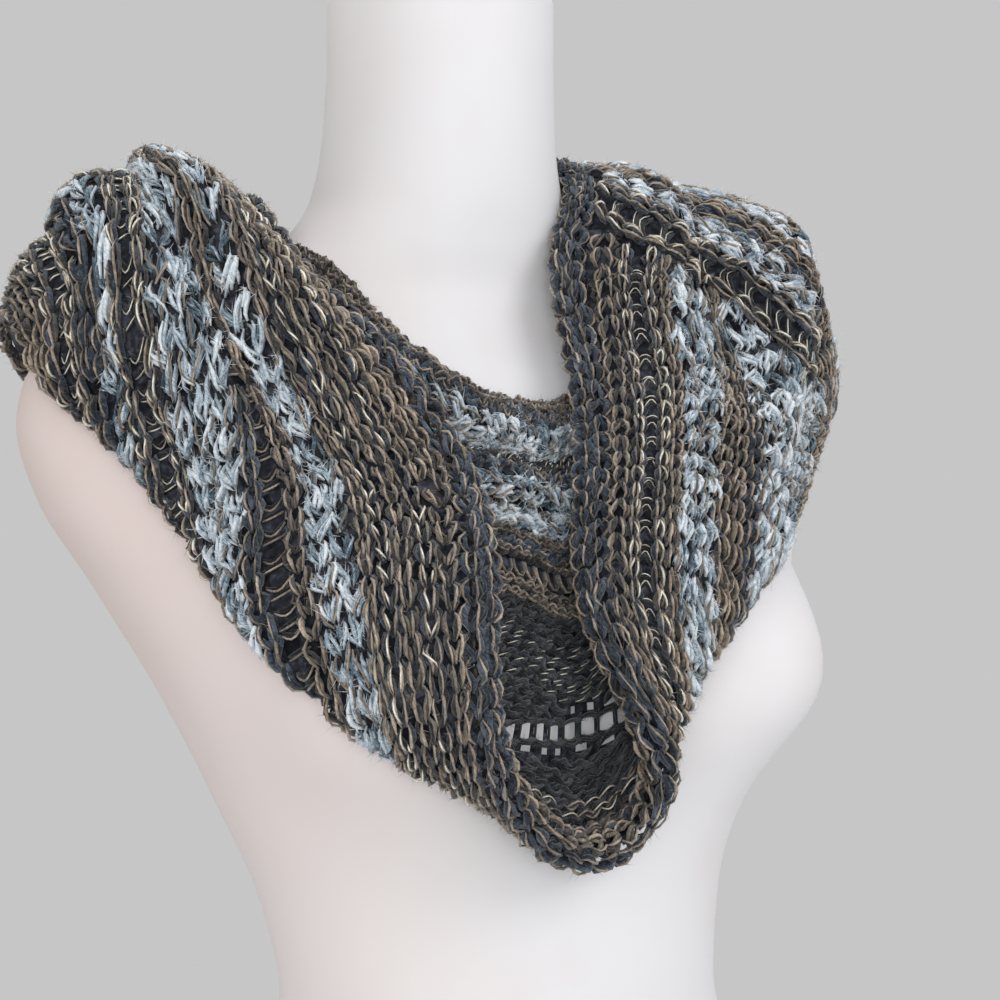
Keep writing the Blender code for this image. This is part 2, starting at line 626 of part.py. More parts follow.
def main():
    """Builds every piece of the part."""
    clear_scene()
    collection = new_collection("infinity_scarf_on_dress_form")
    build_form(collection)
    build_cap(collection)
    knit = make_material("knit", (0.10, 0.11, 0.13), 0.95)
    build_roll(collection, knit)
    panels = (
        # name, first and last section, rows of points across, layer
        ("right_front_flap", POINT_REACH, 6.5, OUTER_ROWS, "outer"),
        ("right_shoulder", 6.5, 8.5, OUTER_ROWS, "outer"),
        ("back", 8.5, 11.5, OUTER_ROWS, "outer"),
        ("left_shoulder", 11.5, 13.5, OUTER_ROWS, "outer"),
        ("left_front_flap", -6.5, -POINT_REACH, OUTER_ROWS, "outer"),
        ("inner_front", -6.5, 6.5, INNER_ROWS, "inner"),
        ("inner_back", 6.5, 13.5, INNER_ROWS, "inner"),
    )
    for name, first, last, rows, layer in panels:
        build_panel(name, collection, knit, first, last, rows, layer)


main()
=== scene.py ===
"""Looks of a chunky knitted loop scarf, worn doubled on a limbless dress form.

The scarf is made of its yarn. Chain stitches of plied yarn, metallic thread and slub lie in
stripes on the strip's surface, over a thin dark sheet that stands in for the yarn behind them: its
darkness is painted shade, partly that yarn's own dark tone. The form is a smooth plastic shell, with
painted shade on the side away from the key lamp.
Metres, +Z up, the form's front towards -Y.
"""
import logging
from collections.abc import Callable
from dataclasses import dataclass, field, replace
from enum import Enum

import bpy
import numpy as np
from mathutils import Matrix, Vector


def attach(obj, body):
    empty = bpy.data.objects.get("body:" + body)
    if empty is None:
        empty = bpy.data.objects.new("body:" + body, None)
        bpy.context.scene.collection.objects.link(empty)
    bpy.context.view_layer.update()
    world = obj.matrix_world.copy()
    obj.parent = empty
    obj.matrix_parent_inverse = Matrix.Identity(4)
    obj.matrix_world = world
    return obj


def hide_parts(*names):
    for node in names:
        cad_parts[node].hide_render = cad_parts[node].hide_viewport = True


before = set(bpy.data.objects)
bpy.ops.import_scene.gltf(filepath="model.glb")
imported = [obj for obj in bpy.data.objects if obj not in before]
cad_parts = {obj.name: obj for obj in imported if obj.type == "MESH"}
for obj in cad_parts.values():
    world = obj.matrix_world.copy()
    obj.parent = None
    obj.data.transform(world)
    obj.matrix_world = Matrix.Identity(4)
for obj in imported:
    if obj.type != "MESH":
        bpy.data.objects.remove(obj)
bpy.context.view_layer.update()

Array = np.ndarray
# Turns picked stitches, ways along their row, offsets across it and heights over the cloth into
# points and directions away from the cloth.
Locate = Callable[[Array, Array, Array, Array], tuple[Array, Array]]
# Turns a boundary's number and places along the strip into shares of its width.
Bound = Callable[[int, Array], Array]
LOG = logging.getLogger("scarf")
CLEARING_ROUNDS = 8
LAYING_ROUNDS = 6
LONGEST_MOVE = 0.016


class Side(Enum):
    """The two faces of the knitted strip."""

    RIGHT = 1.0
    WRONG = -1.0


class Yarn(Enum):
    """What a row of stitches is knitted from."""

    BROWN = "plied navy and tan"
    NAVY = "plied navy, its tan strand sunk in"
    GOLD = "navy with a metallic thread"
    SLUB = "thick and thin pale slub"
    # DIM gets its darkness from the dim finish: partly the slub's own dark stretches, partly painted shade in
    # the V's hollow. METAL is laid in the same finish.
    DIM = "slub in its dark stretches"
    RUNGS = "dropped stitch, crossed by bare threads"
    METAL = "dark, with short slanted metallic threads"


# ---------------------------------------------------------------- the shapes under the yarn
def unit(vectors: Array) -> Array:
    """The vectors at length 1."""
    return vectors / np.maximum(np.linalg.norm(vectors, axis=-1, keepdims=True), 1e-9)


def smooth_through(knots: Array, values: Array, at: Array) -> Array:
    """Values on the monotone cubic curve through the knots.

    The slope at a knot is the weighted harmonic mean of the slopes beside it, 0 at a turn.

    Args:
        knots: Places of the knots, rising.
        values: Value at each knot.
        at: Places wanted, held inside the knots.

    Returns:
        The values, in the shape of at.
    """
    steps = np.diff(knots)
    slopes = np.diff(values) / steps
    tangents = np.zeros(len(knots))
    weight_a = 2 * steps[1:] + steps[:-1]
    weight_b = steps[1:] + 2 * steps[:-1]
    with np.errstate(divide="ignore", invalid="ignore"):
        mean = (weight_a + weight_b) / (weight_a / slopes[:-1] + weight_b / slopes[1:])
    tangents[1:-1] = np.where(slopes[:-1] * slopes[1:] > 0, mean, 0.0)
    tangents[0], tangents[-1] = slopes[0], slopes[-1]
    at = np.clip(at, knots[0], knots[-1])
    cell = np.clip(np.searchsorted(knots, at, side="right") - 1, 0, len(steps) - 1)
    share = (at - knots[cell]) / steps[cell]
    rest = 1 - share
    return (values[cell] * rest * rest * (1 + 2 * share) + values[cell + 1] * share * share * (3 - 2 * share)
            + steps[cell] * share * rest * (tangents[cell] * rest - tangents[cell + 1] * share))


def loop_through(knots: Array, length: float, values: Array, at: Array) -> Array:
    """Values on the smoothest closed cubic curve through the knots.

    The second derivatives follow from one equation at each knot, so that its slope is the same
    on both sides.

    Args:
        knots: Places of the knots on the loop, rising.
        length: The whole way round.
        values: Values at the knots, one row each.
        at: Places wanted, any number of turns round.

    Returns:
        One row of values for each place.
    """
    count = len(knots)
    steps = np.diff(np.append(knots, knots[0] + length))
    values = np.asarray(values, float).reshape(count, -1)
    here = np.arange(count)
    before, after = (here - 1) % count, (here + 1) % count
    matrix = np.zeros((count, count))
    matrix[here, before] += steps[before] / 6
    matrix[here, here] += (steps[before] + steps) / 3
    matrix[here, after] += steps / 6
    sides = (values[after] - values) / steps[:, None] - (values - values[before]) / steps[before][:, None]
    bend = np.linalg.solve(matrix, sides)
    at = np.mod(np.asarray(at, float) - knots[0], length) + knots[0]
    cell = np.clip(np.searchsorted(knots, at, side="right") - 1, 0, count - 1)
    following = (cell + 1) % count
    step = steps[cell][..., None]
    share = ((at - knots[cell]) / steps[cell])[..., None]
    rest = 1 - share
    return (values[cell] * rest + values[following] * share
            + step * step / 6 * ((rest ** 3 - rest) * bend[cell] + (share ** 3 - share) * bend[following]))


@dataclass(frozen=True)
class FormShape:
    """The form's skin: superellipse rings up an axis, and the bust's two mounds."""

    # height, half the width, depth to the front and back, centre behind the axis, ring power
    rings: tuple = (
        (0.0000, 0.1550, 0.1060, 0.1060, -0.006, 2.25), (0.0300, 0.1660, 0.1100, 0.1140, -0.006, 2.25),
        (0.0700, 0.1640, 0.1080, 0.1130, -0.008, 2.25), (0.1200, 0.1460, 0.1000, 0.1000, -0.014, 2.20),
        (0.1700, 0.1190, 0.0880, 0.0820, -0.026, 2.20), (0.2150, 0.1050, 0.0800, 0.0730, -0.032, 2.20),
        (0.2550, 0.1110, 0.0820, 0.0800, -0.027, 2.20), (0.3000, 0.1270, 0.0890, 0.0930, -0.017, 2.25),
        (0.3500, 0.1480, 0.0950, 0.1070, -0.006, 2.35), (0.4000, 0.1750, 0.0940, 0.1170, 0.005, 2.40),
        (0.4400, 0.1980, 0.0880, 0.1160, 0.014, 2.35), (0.4700, 0.2060, 0.0780, 0.1080, 0.018, 2.30),
        (0.4920, 0.2020, 0.0680, 0.0940, 0.022, 2.20), (0.5080, 0.1820, 0.0580, 0.0800, 0.026, 2.10),
        (0.5220, 0.1460, 0.0520, 0.0700, 0.028, 2.00), (0.5380, 0.1070, 0.0500, 0.0650, 0.029, 2.00),
        (0.5560, 0.0790, 0.0510, 0.0620, 0.028, 2.00), (0.5780, 0.0630, 0.0530, 0.0580, 0.027, 2.00),
        (0.6100, 0.0565, 0.0540, 0.0560, 0.026, 2.00), (0.6500, 0.0545, 0.0545, 0.0545, 0.025, 2.00),
        (0.6715, 0.0545, 0.0545, 0.0545, 0.025, 2.00), (0.6760, 0.0520, 0.0520, 0.0520, 0.025, 2.00),
    )
    bust_spread: float = 0.090
    bust_height: float = 0.361
    bust_width: float = 0.053
    bust_rise: float = 0.073
    bust_fall: float = 0.054
    bust_depth: float = 0.080
    bust_facing: float = 1.5

    def column(self, index: int, height: Array) -> Array:
        """One column of the rings' table at each height."""
        table = np.array(self.rings)
        return smooth_through(table[:, 0], table[:, index], height)

    def radius(self, angle: Array, height: Array) -> Array:
        """Way from a ring's centre to its outline: a superellipse's, plus a bell for each mound.

        Args:
            angle: Angles about the ring's centre.
            height: Heights of the points.

        Returns:
            The radii.
        """
        power = self.column(5, height)
        depth = np.where(np.sin(angle) < 0, self.column(2, height), self.column(3, height))
        across = np.abs(np.cos(angle)) / self.column(1, height)
        along = np.abs(np.sin(angle)) / depth
        radius = (across ** power + along ** power) ** (-1 / power)
        fade = np.where(height > self.bust_height, self.bust_rise, self.bust_fall)
        beside = radius * np.cos(angle)
        mound = (np.exp(-((beside - self.bust_spread) / self.bust_width) ** 2)
                 + np.exp(-((beside + self.bust_spread) / self.bust_width) ** 2))
        mound = mound * np.exp(-((height - self.bust_height) / fade) ** 2)
        return radius + self.bust_depth * mound * np.clip(-np.sin(angle), 0, 1) ** self.bust_facing

    def skin(self, angle: Array, height: Array) -> Array:
        """Points of the skin: the radius turned about each ring's centre."""
        radius = self.radius(angle, height)
        return np.stack([radius * np.cos(angle), self.column(4, height) + radius * np.sin(angle), height], -1)

    def level(self, points: Array) -> Array:
        """0 on the skin, positive outside: distance over the ring's radius, less 1.

        Args:
            points: Points anywhere.

        Returns:
            The level of each point.
        """
        height = points[..., 2]
        behind = points[..., 1] - self.column(4, height)
        return (np.hypot(points[..., 0], behind)
                / self.radius(np.arctan2(behind, points[..., 0]), height) - 1)

    def distance(self, points: Array) -> tuple[Array, Array]:
        """Distance to the skin and the direction away from it: the level over its gradient.

        Args:
            points: Points anywhere.

        Returns:
            The distance and the direction of each point.
        """
        small = 1e-4
        gradient = np.stack([(self.level(points + step) - self.level(points - step)) / (2 * small)
                             for step in np.eye(3) * small], -1)
        size = np.linalg.norm(gradient, axis=-1)
        return self.level(points) / size, gradient / size[..., None]

    def cleared(self, points: Array, clearance: Array) -> Array:
        """The points, those closer to the skin than the clearance moved out to it.

        Args:
            points: Points anywhere.
            clearance: Least distance to the skin of each.

        Returns:
            The points after the moves.
        """
        for _ in range(CLEARING_ROUNDS):
            distance, away = self.distance(points)
            points = points + away * np.clip(clearance - distance, 0, LONGEST_MOVE)[..., None]
        return points


@dataclass
class Strip:
    """The scarf's knitted strip as a surface of place along it and share of its width.

    Each section runs from the rolled edge as an arch over the line to the fold, round a half
    circle, and back on the form to the rim. Folds are bells across it, pressed out or in.
    """

    form: FormShape
    width: float = 0.265
    inner_clearance: float = 0.0030
    edge_clearance: float = 0.009
    rim_margin: float = 0.012
    fold_radius: float = 0.006
    full_turn: float = 0.052
    least_turn: float = 0.35
    fold_inset: float = 0.0015
    layer_clearance: float = 0.0055
    inner_arch: float = 0.6
    lay_length: float = 0.028
    crown_shape: float = 2.6
    fold_fade: float = 0.6
    samples: int = 201
    softening: int = 26
    lines_along: int = 640
    lines_across: int = 250
    # edge, fold and rim of each section in millimetres, and the arch of the outer layer
    sections: tuple = (
        ((-6, -131, 295), (-6, -121, 291), (3, -68, 488), 0),
        ((-53, -143, 317), (-56, -125, 315), (-14, -67, 490), 2),
        ((-80, -157, 362), (-107, -133, 344), (-31, -62, 498), 5),
        ((-75, -146, 405), (-136, -112, 371), (-48, -48, 511), 8),
        ((-64, -111, 449), (-157, -72, 410), (-63, -32, 530), 12),
        ((-80, -78, 494), (-177, -44, 452), (-77, -12, 548), 18),
        ((-101, -42, 530), (-200, -18, 482), (-86, 6, 556), 32),
        ((-107, -1, 560), (-212, 10, 502), (-88, 26, 556), 40),
        ((-86, 56, 568), (-198, 70, 503), (-78, 52, 556), 36),
        ((-60, 100, 556), (-128, 136, 448), (-52, 86, 552), 22),
        ((2, 112, 566), (0, 144, 412), (0, 100, 548), 14),
        ((56, 86, 586), (134, 136, 448), (52, 84, 552), 24),
        ((67, 35, 597), (212, 56, 502), (80, 52, 556), 36),
        ((59, -9, 580), (214, 0, 496), (86, 22, 556), 40),
        ((39, -29, 554), (196, -30, 482), (76, -8, 548), 40),
        ((28, -56, 511), (172, -48, 460), (58, -34, 526), 32),
        ((12, -93, 467), (134, -80, 434), (42, -52, 507), 22),
        ((-1, -112, 427), (84, -121, 403), (30, -60, 497), 12),
        ((-3, -127, 386), (44, -130, 366), (20, -64, 492), 6),
        ((17, -136, 324), (27, -125, 322), (12, -67, 489), 2),
    )
    # first and last section, place across at each, width and height in millimetres
    folds: tuple = (
        (-1.2, 4.8, 0.93, 0.93, 11, 10), (-1.2, 4.0, 0.865, 0.865, 7, -5), (-1.2, 3.6, 0.78, 0.78, 12, 10),
        (-1.2, 3.6, 0.71, 0.71, 8, -5), (4.6, 9.4, 0.11, 0.13, 16, 13), (4.2, 9.4, 0.21, 0.21, 9, -8),
        (4.0, 9.0, 0.28, 0.28, 12, 2), (4.2, 9.0, 0.36, 0.36, 9, -8), (11.8, 15.8, 0.18, 0.24, 15, -13),
        (11.4, 16.4, 0.35, 0.36, 16, 9), (13.6, 16.3, 0.45, 0.41, 9, -9), (8.4, 11.8, 0.20, 0.22, 17, 9),
        (8.6, 11.6, 0.33, 0.34, 12, -5), (8.2, 12.0, 0.46, 0.48, 18, 10),
    )
    length: float = field(init=False)
    knots: Array = field(init=False)
    surface: Array = field(init=False)
    fold_shares: Array = field(init=False)

    def __post_init__(self) -> None:
        """Works out the sections' places and the table of points and normals."""
        edge, fold = (np.array([row[column] for row in self.sections]) / 1000 for column in (0, 1))
        steps = (np.linalg.norm(np.roll(edge, -1, 0) - edge, axis=1)
                 + np.linalg.norm(np.roll(fold, -1, 0) - fold, axis=1)) / 2
        self.knots = np.concatenate([[0], np.cumsum(steps)[:-1]])
        self.length = float(np.sum(steps))
        places = np.linspace(0, self.length, self.lines_along, endpoint=False)
        across = np.tile(np.linspace(0, 1, self.lines_across), (len(places), 1))
        points, self.fold_shares = self.points(places, across)
        along = np.roll(points, -1, 0) - np.roll(points, 1, 0)
        normals = unit(np.cross(along, np.gradient(points, axis=1)))
        self.surface = np.concatenate([points, normals], -1)

    def centred(self, place: Array) -> Array:
        """The places, brought to within half the loop on both sides of the point of the V."""
        return np.mod(place + self.length / 2, self.length) - self.length / 2

    def place_of(self, section: float) -> float:
        """Place along the strip of a section number, also between two of them."""
        numbers = np.arange(-len(self.knots), 2 * len(self.knots))
        places = np.concatenate([self.knots - self.length, self.knots, self.knots + self.length])
        return float(np.interp(section, numbers, places))

    def raw_sections(self, places: Array) -> tuple[Array, Array, Array]:
        """Outer layer, half-circle fold and inner layer of the section at each place.

        Args:
            places: Places along the strip.

        Returns:
            Rows of points of the three parts, from the edge to the rim.
        """
        table = [np.array([row[column] for row in self.sections], float) / 1000 for column in range(4)]
        edge, fold, rim = (loop_through(self.knots, self.length, table[column], places)[:, None, :]
                           for column in range(3))
        crown = np.maximum(loop_through(self.knots, self.length, table[3], places), 0)[:, None, :]
        reach = np.linalg.norm(fold - edge, axis=-1, keepdims=True)
        radius = self.fold_radius * np.clip(reach / self.full_turn, self.least_turn, 1)
        _, away = self.form.distance(fold)
        outward = unit((fold - edge) - np.sum((fold - edge) * away, -1, keepdims=True) * away)
        fold = self.form.cleared(fold - (radius + self.fold_inset) * outward,
                                 self.inner_clearance + radius[..., 0])
        _, away = self.form.distance(fold)
        outward = unit(outward - np.sum(outward * away, -1, keepdims=True) * away)

        share = np.linspace(0, 1, self.samples)[None, :, None]
        line = edge + (fold + radius * away - edge) * share
        _, lift = self.form.distance(edge + (fold - edge) * np.clip(share, 0.25, 0.75))
        outer = line + lift * crown * (1 - np.abs(2 * share - 1) ** self.crown_shape)
        layer_gap = self.inner_clearance + 2 * radius[..., 0]
        beyond = np.sum((rim - edge) * unit(fold - edge), -1)
        alone = (np.clip((edge - rim)[..., 2] / self.rim_margin, 0, 1)
                 * np.clip((beyond - share[..., 0] * reach[..., 0]) / self.rim_margin - 1, 0, 1))
        outer = self.form.cleared(outer, layer_gap + (self.edge_clearance - layer_gap) * alone)

        turn = np.linspace(0, np.pi, 15)[None, 1:-1, None]
        bend = fold + radius * (np.cos(turn) * away + np.sin(turn) * outward)
        bend = self.form.cleared(bend, self.inner_clearance)
        start = fold - radius * away
        chord = rim - start
        span = np.linalg.norm(chord, axis=-1, keepdims=True)
        inner = start + chord * share + lift * self.inner_arch * span * share * (1 - share)
        off_start = np.maximum(self.form.distance(start)[0] - self.inner_clearance, 0)
        wanted = (self.inner_clearance
                  + off_start * np.exp(-(share[..., 0] * span[..., 0] / self.lay_length) ** 2))
        for _ in range(LAYING_ROUNDS):
            distance, away = self.form.distance(inner)
            inner = inner + away * np.clip(wanted - distance, -LONGEST_MOVE, LONGEST_MOVE)[..., None]
        return outer, bend, inner

    @staticmethod
    def way(points: Array) -> Array:
        """Way along each row of points, from 0."""
        steps = np.linalg.norm(np.diff(points, axis=1), axis=-1)
        return np.concatenate([np.zeros((len(points), 1)), np.cumsum(steps, 1)], 1)

    def spaced(self, points: Array, shares: Array) -> Array:
        """Points at the shares of the way along each row, on straight lines between its points.

        Args:
            points: Rows of points.
            shares: For each row its shares, from 0 to 1.

        Returns:
            One point for each share.
        """
        way = self.way(points)
        wanted = shares * way[:, -1:]
        shift = np.arange(len(way))[:, None] * (way.max() + 1)
        cell = np.searchsorted((way + shift).ravel(), (wanted + shift).ravel())
        row = np.repeat(np.arange(len(way)), shares.shape[1])
        cell = np.clip(cell - row * way.shape[1], 1, way.shape[1] - 1)
        low, high = way[row, cell - 1], way[row, cell]
        part = ((wanted.ravel() - low) / np.maximum(high - low, 1e-12))[:, None]
        return (points[row, cell - 1] * (1 - part) + points[row, cell] * part).reshape(shares.shape + (3,))

    def points(self, places: Array, across: Array) -> tuple[Array, Array]:
        """Points of the strip at each place and its row of shares, and where each row turns.

        Args:
            places: Places along the strip.
            across: For each place its shares of the width.

        Returns:
            The points, and the share at which each row turns.
        """
        outer, bend, inner = self.raw_sections(places)
        whole = np.concatenate([outer, bend, inner], 1)
        fold = (self.way(outer)[:, -1] + self.way(bend)[:, -1] / 2) / self.way(whole)[:, -1]
        whole = self.spaced(whole, np.tile(np.linspace(0, 1, self.samples), (len(places), 1)))
        for _ in range(self.softening):
            middle = (whole[:, :-2] + whole[:, 2:]) / 2
            whole[:, 1:-1] += (middle - whole[:, 1:-1]) / 2
        points = self.spaced(whole, across)

        lift = np.zeros(across.shape)
        for first, last, at_first, at_last, width, height in self.folds:
            start, end = self.place_of(first), self.place_of(last)
            position = np.mod(places - start, self.length)
            run = np.clip(position / (end - start), 0, 1)
            fade = np.sin(np.pi * run) ** self.fold_fade * (position < end - start)
            middle = at_first + (at_last - at_first) * run
            bell = np.exp(-((across - middle[:, None]) * self.width / (width / 1000)) ** 2)
            lift += height / 1000 * fade[:, None] * bell
        _, away = self.form.distance(points)
        before = (fold[:, None] - across) * self.width / (2 * self.fold_radius)
        clearance = self.inner_clearance + self.layer_clearance * np.clip(before, 0, 1)
        moved = self.form.cleared(points + away * lift[..., None], self.inner_clearance)
        pushed_in = (lift < 0)[..., None]
        return np.where(pushed_in, self.form.cleared(moved, clearance), moved), fold

    def at(self, place: Array, across: Array, height: Array, side: Side = Side.RIGHT) -> tuple[Array, Array]:
        """Points over the strip, read from its table on straight lines between the table's points.

        Args:
            place: Places along the strip, any number of turns round.
            across: Shares of its width.
            height: Heights over the face.
            side: The face that the heights are over.

        Returns:
            The points, and the directions away from that face.
        """
        rows, columns = self.surface.shape[:2]
        row = np.mod(place, self.length) / self.length * rows
        column = np.clip(across, 0, 1) * (columns - 1)
        row_low = np.floor(row).astype(int)
        column_low = np.clip(np.floor(column).astype(int), 0, columns - 2)
        down, over = (row - row_low)[..., None], (column - column_low)[..., None]
        row_low, row_high = row_low % rows, (row_low + 1) % rows
        table, beside = self.surface, column_low + 1
        mixed = ((table[row_low, column_low] * (1 - over) + table[row_low, beside] * over) * (1 - down)
                 + (table[row_high, column_low] * (1 - over) + table[row_high, beside] * over) * down)
        away = unit(mixed[..., 3:]) * side.value
        return mixed[..., :3] + away * height[..., None], away

    def fold_at(self, place: Array) -> Array:
        """Share of the width at which the strip turns, at each place."""
        table = np.linspace(0, self.length, self.lines_along + 1)
        return np.interp(np.mod(place, self.length), table, np.append(self.fold_shares, self.fold_shares[0]))


@dataclass(frozen=True)
class DroppedStitches:
    """The row of holes above the point of the V, and the bars of yarn between them."""

    count: int = 8
    pitch: float = 0.0125
    bar: float = 0.0024
    place: float = 0.019
    peak: float = 0.003
    shares: tuple[float, float] = (0.215, 0.253)
    falls: tuple[float, float] = (1.0, 20.0)
    spread: float = 0.2
    reach: float = 0.066
    turn_margin: float = 0.004
    # small gaps in the rows beside: place along the strip, and 1 above the row or -1 below it
    slits: tuple = ((0.010, 1), (-0.001, 1), (-0.016, 1), (-0.030, 1), (0.062, -1), (0.046, -1), (0.031, -1),
                    (0.019, -1), (0.004, -1), (-0.012, -1))
    slit_half: float = 0.0032
    slit_near: float = 0.0042
    slit_far: float = 0.0080

    def spans(self) -> Array:
        """Both ends of each hole along the strip."""
        middle = self.place + (np.arange(self.count) - (self.count - 1) / 2) * self.pitch
        half = (self.pitch - self.bar) / 2
        return np.stack([middle - half, middle + half], 1)

    def edges(self, strip: Strip, place: Array) -> tuple[Array, Array]:
        """Lower and upper edge of the row at each place.

        They are shares of the way from the turn to the rim, less falls[0] d + falls[1] d^2 at the
        distance d along the strip from the peak.

        Args:
            strip: The strip.
            place: Places along it.

        Returns:
            Shares of the width of both edges.
        """
        along = np.abs(place - self.peak)
        fallen = np.minimum(along, self.reach)
        lean = -(self.falls[0] * fallen + self.falls[1] * fallen ** 2) * np.clip(2 - along / self.reach, 0, 1)
        lean = lean * (1 - (self.shares[1] - self.shares[0]) / 2 / self.spread)
        fold = strip.fold_at(place)
        radius = strip.fold_radius * np.clip(fold * strip.width / strip.full_turn, strip.least_turn, 1)
        after = fold + (np.pi / 2 * radius + self.turn_margin) / strip.width
        return tuple(after + (1 - after) * (share + lean) for share in self.shares)

    def hit(self, strip: Strip, place: Array, across: Array, margin: float = 0.0) -> Array:
        """True where a point lies in a slit or a hole, or within the margin of a hole.

        Args:
            strip: The strip.
            place: Places along it.
            across: Shares of its width.
            margin: Way by which the holes count as larger.

        Returns:
            True for each point that is hit.
        """
        near = strip.centred(place)
        low, high = self.edges(strip, near)
        start, end = self.spans().T
        inside = np.any((near[..., None] > start - margin) & (near[..., None] < end + margin), -1)
        inside = inside & (across > low - margin / strip.width) & (across < high + margin / strip.width)
        for middle, way in self.slits:
            off = (across - (high if way > 0 else low)) * way * strip.width
            inside = inside | ((np.abs(near - middle) < self.slit_half) & (off > self.slit_near)
                               & (off < self.slit_far))
        return inside


# ---------------------------------------------------------------- meshes from arrays
def mesh_object(name: str, points: Array, corners: list[Array], maps: list[Array] | None = None,
                tint: Array | None = None) -> bpy.types.Object:
    """Makes an object of points and faces held in arrays.

    Args:
        name: The object's name.
        points: Points, one row each.
        corners: Arrays of faces with the same number of corners, one row each.
        maps: For each of those, the two map coordinates of every corner.
        tint: A number from 0 to 1 for each point.

    Returns:
        The object, shaded smooth and linked to the scene.
    """
    mesh = bpy.data.meshes.new(name)
    mesh.vertices.add(len(points))
    mesh.vertices.foreach_set("co", np.ascontiguousarray(points, np.float32).ravel())
    sizes = np.concatenate([np.full(len(part), part.shape[1]) for part in corners])
    flat = np.concatenate([part.ravel() for part in corners])
    mesh.loops.add(len(flat))
    mesh.loops.foreach_set("vertex_index", flat.astype(np.int32))
    mesh.polygons.add(len(sizes))
    mesh.polygons.foreach_set("loop_start", np.concatenate([[0], np.cumsum(sizes)[:-1]]).astype(np.int32))
    mesh.polygons.foreach_set("use_smooth", np.ones(len(sizes), bool))
    if maps is not None:
        layer = mesh.uv_layers.new(name="lay")
        layer.data.foreach_set("uv", np.concatenate([part.ravel() for part in maps]).astype(np.float32))
    if tint is not None:
        mesh.attributes.new("tint", "FLOAT", "POINT").data.foreach_set("value", tint.astype(np.float32))
    mesh.update(calc_edges=True)
    mesh.validate()
    item = bpy.data.objects.new(name, mesh)
    bpy.context.scene.collection.objects.link(item)
    return item


def grid_corners(rows: int, columns: int, round_rows: bool = False, round_columns: bool = False) -> Array:
    """Quads of a grid of points, row by row, closed on itself where asked.

    Args:
        rows: Rows of points.
        columns: Points in a row.
        round_rows: True if the last row meets the first.
        round_columns: True if a row's last point meets its first.

    Returns:
        Four corners for each quad.
    """
    row, column = np.meshgrid(np.arange(rows if round_rows else rows - 1),
                              np.arange(columns if round_columns else columns - 1), indexing="ij")
    row, column = row.ravel(), column.ravel()
    above, beside = (row + 1) % rows, (column + 1) % columns
    return np.stack([row * columns + column, row * columns + beside,
                     above * columns + beside, above * columns + column], 1)


@dataclass
class Strands:
    """Short lengths of yarn gathered into one mesh: closed tubes along rows of points."""

    name: str
    sides: int = 3
    batches: list[tuple[Array, Array, Array, Array]] = field(default_factory=list)

    def add(self, lines: Array, radius: Array, up: Array, tint: Array) -> None:
        """Adds tubes: rows of middle points, a radius and an upward direction at each, and a tint.

        Args:
            lines: Rows of middle points.
            radius: Radius at each point.
            up: Direction upwards at each point.
            tint: Tint of each tube.
        """
        if len(lines):
            self.batches.append((lines, radius, up, tint))

    def faces(self) -> int:
        """Number of triangles in all."""
        return sum(len(lines) * (2 * self.sides * (lines.shape[1] - 1) + 2 * (self.sides - 2))
                   for lines, _, _, _ in self.batches)

    def build(self) -> bpy.types.Object:
        """Makes the mesh: a ring square to the line at each point, the ends closed by a face.

        A ring's point at an angle is middle + radius * (cos * up + sin * side), where side is
        square to the line and to up. The map runs along the line in centimetres and round it.

        Returns:
            The object.
        """
        points, quads, caps, quad_maps, cap_maps, tints = [], [], [], [], [], []
        base = 0
        turn = np.linspace(0, 2 * np.pi, self.sides, endpoint=False)
        for lines, radius, up, tint in self.batches:
            count, rings = lines.shape[:2]
            along = unit(np.gradient(lines, axis=1))
            side = unit(np.cross(along, up))
            top = np.cross(side, along)
            ring = (np.cos(turn)[:, None] * top[:, :, None, :] + np.sin(turn)[:, None] * side[:, :, None, :])
            points.append((lines[:, :, None, :] + radius[:, :, None, None] * ring).reshape(-1, 3))
            tints.append(np.repeat(tint, rings * self.sides))
            start = base + np.arange(count) * rings * self.sides
            cell = grid_corners(rings, self.sides, round_columns=True)
            quads.append((start[:, None, None] + cell[None]).reshape(-1, 4))
            way = np.concatenate([np.zeros((count, 1)),
                                  np.cumsum(np.linalg.norm(np.diff(lines, axis=1), axis=-1), 1)], 1) * 100
            step, column = cell[:, 0] // self.sides, cell[:, 0] % self.sides
            over = np.stack([column, column + 1, column + 1, column], 1) / self.sides
            lengths = np.stack([way[:, step], way[:, step], way[:, step + 1], way[:, step + 1]], -1)
            quad_maps.append(np.stack([lengths, np.broadcast_to(over, lengths.shape)], -1).reshape(-1, 4, 2))
            first = start[:, None] + np.arange(self.sides)[::-1]
            last = start[:, None] + (rings - 1) * self.sides + np.arange(self.sides)
            caps += [first, last]
            cap_maps += [np.zeros((count, self.sides, 2)), np.zeros((count, self.sides, 2))]
            base += count * rings * self.sides
        return mesh_object(self.name, np.concatenate(points), [np.concatenate(quads), np.concatenate(caps)],
                           [np.concatenate(quad_maps), np.concatenate(cap_maps)], np.concatenate(tints))


